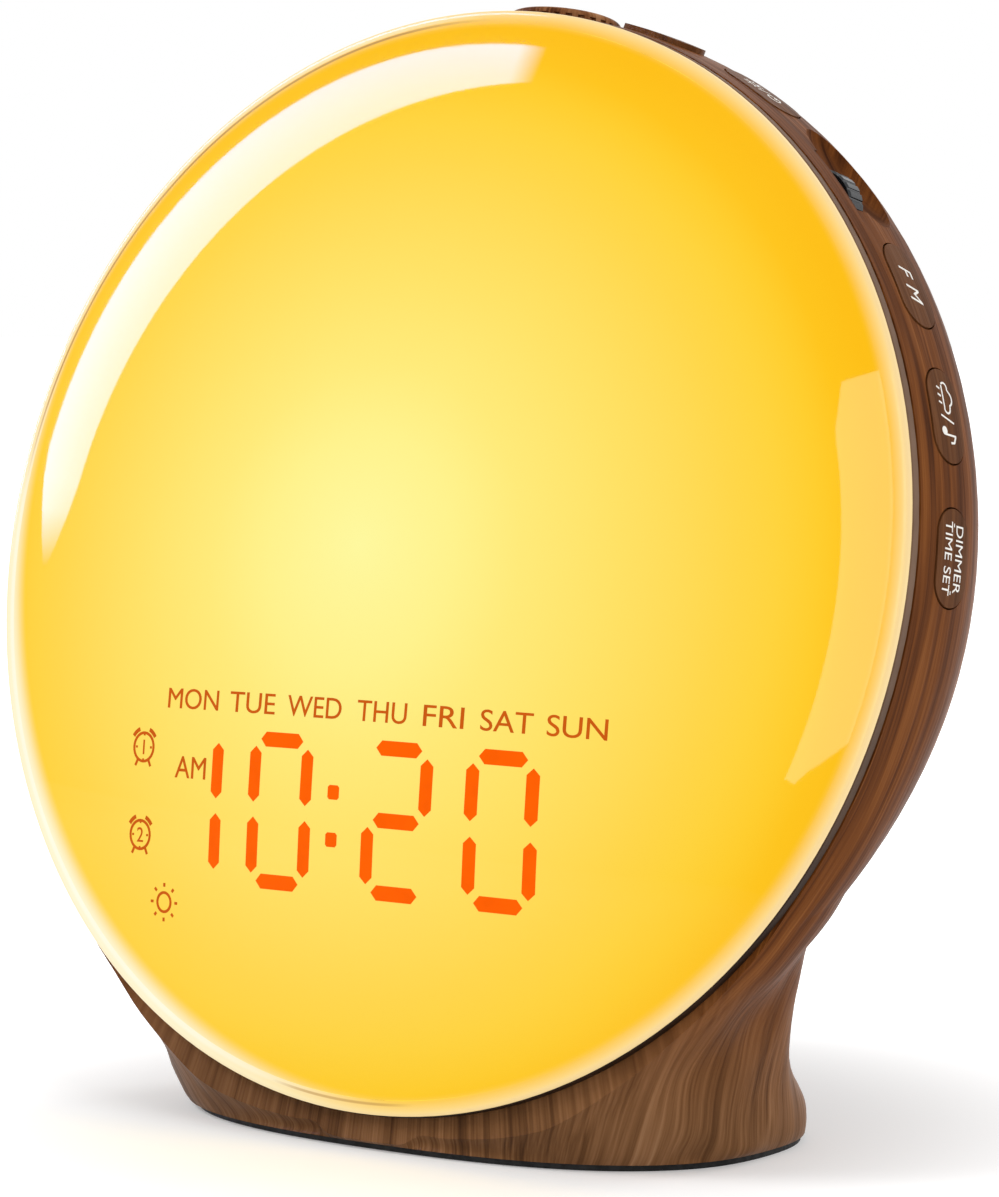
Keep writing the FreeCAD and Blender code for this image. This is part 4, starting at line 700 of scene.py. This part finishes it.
def alarm_icon(number, x, y):
    """Twin-bell alarm clock sign with its number."""
    ring = ALARM_RING
    figure = words(number, ALARM_FIGURE)
    wide = max(px for px, py in figure[0])
    parts = [circle(x, y, ring, LINE), moved(figure, x - wide / 2, y - ALARM_FIGURE / 2)]
    start, end = BELL_ANGLES
    for side in (1, -1):
        parts.append(stroke(arc(x, y, ring + BELL_GAP, side * start, side * end, 8), BELL_THICK))
        parts.append(stroke([(x + side * 1.2, y - ring * 0.86), (x + side * 1.75, y - ring - 0.72)], LINE))
        parts.append(stroke([(x + side * 1.45, y), (x + side * 1.85, y)], THIN_LINE))
    parts.append(stroke([(x, y + ring), (x, y + ring - ALARM_MARK)], THIN_LINE))
    parts.append(stroke([(x, y - ring), (x, y - ring + ALARM_MARK)], THIN_LINE))
    return join(*parts)


def sun_icon(x, y, ring=1.5, reach=2.75, line=LINE):
    """Ring with rays round it."""
    parts = [circle(x, y, ring, line)]
    for index in range(SUN_RAYS):
        turn = 2 * math.pi * index / SUN_RAYS
        across, up = math.sin(turn), math.cos(turn)
        near, far = reach - RAY_IN, reach + RAY_OUT
        parts.append(stroke([(x + across * near, y + up * near), (x + across * far, y + up * far)], line))
    return join(*parts)


def make_signs(material):
    days = []
    for text, left, right in WEEKDAYS:
        days.append(moved(words(text, WEEKDAY_HEIGHT, right - left), left, WEEKDAY_BASE))
    text, left, right, base = HALF_DAY
    days.append(moved(words(text, HALF_DAY_HEIGHT, right - left), left, base))
    slab("weekday_signs", join(*days), on_dome, SIGN_LIFT, material, "clock")
    icons = [alarm_icon(*place) for place in ALARM_PLACES]
    icons.append(sun_icon(*SUN_PLACE))
    slab("icon_signs", join(*icons), on_dome, SIGN_LIFT, material, "clock")


# Signs on the buttons, laid on the caps' own surface
OUTSIDE_RADIUS = 100.0
PAINT_LIFT = 0.03
PAINT_LINE = 0.3
SMALL_LINE = 0.22
SLASH_LINE = 0.28
RADIO_HEIGHT = 2.8
RADIO_SLANT = 0.25
KEY_WORD_HEIGHT = 1.85


def button_surface(node, angle):
    """Gives place(x, y, height) on a cap: x round the band and y across it, in millimetres."""
    mesh = nodes[node].data
    tree = BVHTree.FromPolygons([vertex.co for vertex in mesh.vertices],
                                [tuple(face.vertices) for face in mesh.polygons])

    def place(x, y, height):
        turn = math.radians(angle) + x / BAND_RADIUS
        out = U * math.sin(turn) + V * math.cos(turn)
        start = CENTRE + (out * OUTSIDE_RADIUS - N * (BUTTON_DEPTH + y)) * MM
        hit = tree.ray_cast(start, -out)[0]
        return hit + out * height * MM
    return place


def cloud_icon(x, y):
    """Rain cloud: three bumps on a flat foot, with drops under it."""
    line = [(x - 2.3, y - 0.35)]
    line += arc(x - 1.8, y + 0.3, 0.75, -120, 20, 8)
    line += arc(x - 0.2, y + 0.75, 1.15, -60, 70, 10)
    line += arc(x + 1.45, y + 0.25, 0.75, 10, 160, 8)
    parts = [stroke(line + [(x + 1.3, y - 0.42), (x - 2.1, y - 0.42)], PAINT_LINE)]
    for index in range(3):
        at = x - 1.45 + 1.15 * index
        parts.append(stroke([(at, y - 0.95), (at - 0.25, y - 1.7)], SLASH_LINE))
    return join(*parts)


def note_icon(x, y):
    """Music note: head, stem and flag."""
    stem = x - 0.12
    parts = [dot(x - 0.65, y - 1.2, 0.66), stroke([(stem, y - 1.2), (stem, y + 1.7)], PAINT_LINE)]
    parts.append(stroke([(stem, y + 1.6), (x + 0.95, y + 1.05), (x + 1.05, y + 0.2)], 0.36))
    return join(*parts)


def make_button_signs(material):
    step = BUTTON_PITCH
    radio = join(moved(words("F", RADIO_HEIGHT, 2.0, RADIO_SLANT), -3.1, -RADIO_HEIGHT / 2),
                 moved(words("M", RADIO_HEIGHT, 3.2, RADIO_SLANT), 0.1, -RADIO_HEIGHT / 2))
    sound = join(cloud_icon(-2.6, 0.1), stroke([(0.1, -1.6), (1.0, 1.6)], SLASH_LINE), note_icon(3.1, 0.0))
    dimmer = moved(words("DIMMER", KEY_WORD_HEIGHT, 9.9), -4.9, 0.55)
    setting = moved(words("TIME SET", KEY_WORD_HEIGHT, 10.8), -5.3, -2.25)
    both = join(dimmer, stroke([(-5.1, 0.02), (5.3, 0.02)], 0.2), setting)
    light = join(sun_icon(-2.2, 0.0, 0.8, 1.5, SMALL_LINE), stroke([(-0.2, -1.2), (0.5, 1.2)], SMALL_LINE),
                 circle(2.4, 0.0, 1.1, 0.24), dot(2.4, 0.45, 0.3))
    signs = (
        ("light_colour_button", SNOOZE_ANGLE + step, light),
        ("fm_button", SNOOZE_ANGLE + 3 * step, radio),
        ("sound_button", SNOOZE_ANGLE + 4 * step, sound),
        ("dimmer_button", SNOOZE_ANGLE + 5 * step, both),
        ("alarm_one_button", -SNOOZE_ANGLE - 3 * step, alarm_icon("1", 0.0, 0.0)),
        ("alarm_two_button", -SNOOZE_ANGLE - 4 * step, alarm_icon("2", 0.0, 0.0)),
    )
    for node, angle, drawing in signs:
        slab(node + "_sign", drawing, button_surface(node, angle), PAINT_LIFT, material,
             node + "_body")


# Light, reflections and stage
# Lamps: name, place in metres, side of the square in metres, watts
LAMPS = (
    ("key_lamp", (-0.9, -1.3, 1.5), 0.9, 17.0),
    ("side_lamp", (1.5, -0.5, 0.9), 0.8, 9.0),
    ("back_lamp", (0.6, 1.4, 1.0), 0.8, 5.0),
)
LAMP_AIM = Vector((0.0, 0.0, 0.09))
WORLD_LIGHT = 0.5
FLOOR_REACH = 6.0
FLOOR_GREY = (0.82, 0.82, 0.82, 1.0)
# Floor glow by distance from the clock, turned down close to it as painted shade
FLOOR_GLOW_AND_SHADE = {"From Min": 0.04, "From Max": 0.17, "To Min": 0.22, "To Max": 1.0}

# Cards mirrored in the dome: clock angles in degrees and dome radii in millimetres
COOL_WHITE = (0.48, 0.48, 1.0, 1.0)
WHITE = (1.0, 1.0, 1.0, 1.0)
CARD_DISTANCE = 1.2
CARD_STEPS = 28
CARD_ROWS = 4
BOW_ANGLES = (266.0, 369.0)
BOW_STRENGTH = 41.0
BOW_FADE_IN = 0.08
BOW_FADE_OUT = 0.03
BOW_RISE = 2.5
BOW_INNER = 68.4
BOW_OUTER = 80.2
BOW_MIDDLE = 0.41
BOW_SPREAD = 6.2
BOW_TIP = 0.12
BOW_TIP_IN = 4.2
BOW_TIP_OUT = 4.0
STRIP_ANGLES = (69.0, 113.0)
STRIP_STRENGTH = 12.0
STRIP_INNER = 75.6
STRIP_SLANT = 1.6
STRIP_OUTER = 82.6
STRIP_TOP = 0.12
STRIP_TOP_CUT = 2.4
STRIP_FOOT = 0.15
STRIP_FOOT_CUT = 3.8


def stage_only(piece):
    for ray in ("camera", "diffuse", "transmission", "volume_scatter", "shadow"):
        setattr(piece, "visible_" + ray, False)


def reflected(radius, angle):
    """Where a card has to stand for the camera to see it on the dome at this place."""
    turn = math.radians(angle)
    spot = on_dome(radius * math.sin(turn), radius * math.cos(turn), 0.0)
    normal = (spot - on_face(0, 0, DOME_RISE - SPHERE_RADIUS)).normalized()
    look = (spot - CAMERA_PLACE).normalized()
    return spot + (look - 2 * look.dot(normal) * normal) * CARD_DISTANCE


def card(name, angles, inner, outer, colour, strength, fade):
    """Curved bright card whose reflection lies on the dome between two angles and radii."""
    start, end = angles
    rows = CARD_ROWS
    points, glows, faces = [], [], []
    for index in range(CARD_STEPS + 1):
        share = index / CARD_STEPS
        angle = start + (end - start) * share
        low, high = inner(share), outer(share)
        for row in range(rows + 1):
            points.append(reflected(low + (high - low) * row / rows, angle))
            glows.append(fade(share, row / rows))
    for index in range(CARD_STEPS):
        for row in range(rows):
            corner = index * (rows + 1) + row
            faces.append((corner, corner + 1, corner + rows + 2, corner + rows + 1))
    mesh = bpy.data.meshes.new(name)
    mesh.from_pydata([tuple(point) for point in points], [], faces)
    mesh.attributes.new("glow", "FLOAT", "POINT").data.foreach_set("value", glows)
    piece = bpy.data.objects.new(name, mesh)
    bpy.context.scene.collection.objects.link(piece)
    material = bpy.data.materials.new(name)
    material.use_nodes = True
    tree = material.node_tree
    tree.nodes.clear()
    output = tree.nodes.new("ShaderNodeOutputMaterial")
    emission = tree.nodes.new("ShaderNodeEmission")
    share = tree.nodes.new("ShaderNodeAttribute")
    share.attribute_name = "glow"
    level = tree.nodes.new("ShaderNodeMath")
    level.operation = "MULTIPLY"
    level.inputs[1].default_value = strength
    emission.inputs["Color"].default_value = colour
    tree.links.new(share.outputs["Fac"], level.inputs[0])
    tree.links.new(level.outputs[0], emission.inputs["Strength"])
    tree.links.new(emission.outputs[0], output.inputs["Surface"])
    mesh.materials.append(material)
    stage_only(piece)


def make_reflections():
    """Long bow at the upper left and a slanted strip at the right; share runs from end to end."""
    def bow_inner(share):
        tip = BOW_TIP_IN * (max(0.0, BOW_TIP - share) / BOW_TIP) ** 2
        return BOW_INNER + BOW_SPREAD * ((share - BOW_MIDDLE) / (1 - BOW_MIDDLE)) ** 2 + tip

    def bow_fade(share, across):
        ends = min(1.0, (1.0 - share) / BOW_FADE_OUT, share / BOW_FADE_IN)
        return ends * (0.9 + 0.75 * share ** BOW_RISE) * (0.7 + 0.25 * across)

    def bow_outer(share):
        return BOW_OUTER - BOW_TIP_OUT * max(0.0, BOW_TIP - share) / BOW_TIP

    card("card_upper_left", BOW_ANGLES, bow_inner, bow_outer, COOL_WHITE, BOW_STRENGTH, bow_fade)

    def strip_inner(share):
        return STRIP_INNER + STRIP_SLANT * share + STRIP_TOP_CUT * max(0.0, STRIP_TOP - share) / STRIP_TOP

    def strip_outer(share):
        return STRIP_OUTER - STRIP_FOOT_CUT * max(0.0, share - (1 - STRIP_FOOT)) / STRIP_FOOT

    card("card_right", STRIP_ANGLES, strip_inner, strip_outer, WHITE, STRIP_STRENGTH,
         lambda share, across: 1.0)


def area_lamp(name, place, size, watts):
    data = bpy.data.lights.new(name, "AREA")
    data.shape = "SQUARE"
    data.size = size
    data.energy = watts
    lamp = bpy.data.objects.new(name, data)
    lamp.location = place
    lamp.rotation_euler = (LAMP_AIM - Vector(place)).to_track_quat("-Z", "Y").to_euler()
    lamp.visible_glossy = False
    bpy.context.scene.collection.objects.link(lamp)


def seen_share(tree):
    """1 for rays that show the background: camera, mirror and clear ones."""
    path = tree.nodes.new("ShaderNodeLightPath")
    first = tree.nodes.new("ShaderNodeMath")
    first.operation = "MAXIMUM"
    second = tree.nodes.new("ShaderNodeMath")
    second.operation = "MAXIMUM"
    tree.links.new(path.outputs["Is Camera Ray"], first.inputs[0])
    tree.links.new(path.outputs["Is Glossy Ray"], first.inputs[1])
    tree.links.new(first.outputs[0], second.inputs[0])
    tree.links.new(path.outputs["Is Transmission Ray"], second.inputs[1])
    return second.outputs[0]


def make_world():
    world = bpy.data.worlds.new("studio")
    bpy.context.scene.world = world
    world.use_nodes = True
    tree = world.node_tree
    background = tree.nodes["Background"]
    background.inputs["Color"].default_value = WHITE
    level = tree.nodes.new("ShaderNodeMapRange")
    level.inputs["To Min"].default_value = WORLD_LIGHT
    level.inputs["To Max"].default_value = 1.0
    tree.links.new(seen_share(tree), level.inputs["Value"])
    tree.links.new(level.outputs[0], background.inputs["Strength"])


def make_floor():
    """Pale floor that keeps the clock's shadow, glows less near the clock as painted shade, and turns plain
    white further out.
    """
    reach = FLOOR_REACH
    corners = [(-reach, -reach, 0), (reach, -reach, 0), (reach, reach, 0), (-reach, reach, 0)]
    mesh = bpy.data.meshes.new("floor")
    mesh.from_pydata(corners, [], [(0, 1, 2, 3)])
    floor = bpy.data.objects.new("floor", mesh)
    bpy.context.scene.collection.objects.link(floor)
    material = bpy.data.materials.new("floor")
    material.use_nodes = True
    tree = material.node_tree
    tree.nodes.clear()
    output = tree.nodes.new("ShaderNodeOutputMaterial")
    diffuse = tree.nodes.new("ShaderNodeBsdfDiffuse")
    emission = tree.nodes.new("ShaderNodeEmission")
    total = tree.nodes.new("ShaderNodeAddShader")
    diffuse.inputs["Color"].default_value = FLOOR_GREY
    share = tree.nodes.new("ShaderNodeMath")
    share.operation = "MULTIPLY"
    place = tree.nodes.new("ShaderNodeTexCoord")
    away = tree.nodes.new("ShaderNodeVectorMath")
    away.operation = "LENGTH"
    # Painted shade: the floor glows less close to the clock
    shade_to_glow = tree.nodes.new("ShaderNodeMapRange")
    shade_to_glow.interpolation_type = "SMOOTHSTEP"
    for name, value in FLOOR_GLOW_AND_SHADE.items():
        shade_to_glow.inputs[name].default_value = value
    tree.links.new(place.outputs["Object"], away.inputs[0])
    tree.links.new(away.outputs["Value"], shade_to_glow.inputs["Value"])
    tree.links.new(shade_to_glow.outputs[0], share.inputs[1])
    tree.links.new(seen_share(tree), share.inputs[0])
    tree.links.new(share.outputs[0], emission.inputs["Strength"])
    tree.links.new(diffuse.outputs[0], total.inputs[0])
    tree.links.new(emission.outputs[0], total.inputs[1])
    tree.links.new(total.outputs[0], output.inputs["Surface"])
    mesh.materials.append(material)


def make_lamps():
    for lamp in LAMPS:
        area_lamp(*lamp)


# Materials of the frame's own nodes
def dress(material, *names):
    for name in names:
        mesh = nodes[name].data
        mesh.materials.clear()
        mesh.materials.append(material)


def dress_nodes():
    """Wood in five tones from dark to light, then the plain finishes."""
    walnut = (rgb(59, 28, 9), rgb(90, 48, 18), rgb(116, 65, 26), rgb(136, 81, 36), rgb(160, 102, 54))
    paler = (rgb(60, 36, 20), rgb(86, 56, 32), rgb(109, 74, 46), rgb(126, 89, 59), rgb(145, 107, 76))
    dress(wood("walnut_look", walnut, paler), "rear_housing", "battery_door")
    greyer = (rgb(61, 33, 15), rgb(84, 49, 25), rgb(103, 63, 34), rgb(118, 75, 43), rgb(136, 92, 58))
    keys = [name for name in nodes if name.endswith("_button")]
    dress(wood("button_wood_look", greyer, greyer, 0.8), *keys)
    knob = (rgb(60, 30, 12), rgb(96, 54, 28), rgb(130, 82, 48), rgb(152, 104, 66), rgb(176, 128, 88))
    dress(wood("knob_wood_look", knob, knob, 1.3), "light_knob")
    dress(bezel_look(), "bezel_ring")
    dress(plain("white_moulding", rgb(232, 230, 224), 0.5, 0.03), "reflector_pan")
    dress(plain("board_green", rgb(34, 92, 58), 0.45, 0.2), "light_board", "main_board", "key_board_right",
          "key_board_left", "port_board")
    dress(plain("lamp_body", rgb(246, 226, 150), 0.3, 0.05), "lamps")
    dress(plain("display_black", rgb(26, 24, 24), 0.35, 0.2), "display_module", "volume_pot",
          "switches_right", "switches_left", "power_inlet", "knob_encoder")
    dress(plain("wheel_black", rgb(20, 24, 28), 0.22, 0.25), "volume_wheel")
    dress(plain("bar_orange", rgb(255, 100, 10), 0.4, 0.05), "digit_bars")
    dress(plain("steel", rgb(176, 178, 182), 0.28, 0.06, metallic=1.0), "board_screws", "housing_screws",
          "base_screws", "knob_shaft", "speaker_frame", "charge_port", "coin_cell", "cell_contact")
    dress(plain("magnet_grey", rgb(70, 70, 74), 0.5), "speaker_magnet")
    dress(plain("paper_black", rgb(36, 34, 32), 0.85, 0.2, 0.06), "speaker_cone")
    dress(plain("base_brown", rgb(58, 40, 30), 0.55), "base_plate")
    dress(plain("pad_rubber", rgb(14, 14, 15), 0.7, 0.3), "foot_pad")


scene = bpy.context.scene
scene.view_settings.view_transform = "Standard"
make_camera()
make_world()
make_floor()
make_lamps()
make_reflections()
dress_nodes()
make_dome()
make_edge_ring()
make_digits(lit("bar_glow", rgb(255, 96, 0), 1.0))
make_signs(lit("sign_glow", rgb(207, 92, 16), 0.95))
make_button_signs(plain("sign_paint", rgb(250, 247, 240), 0.5, 0.02))
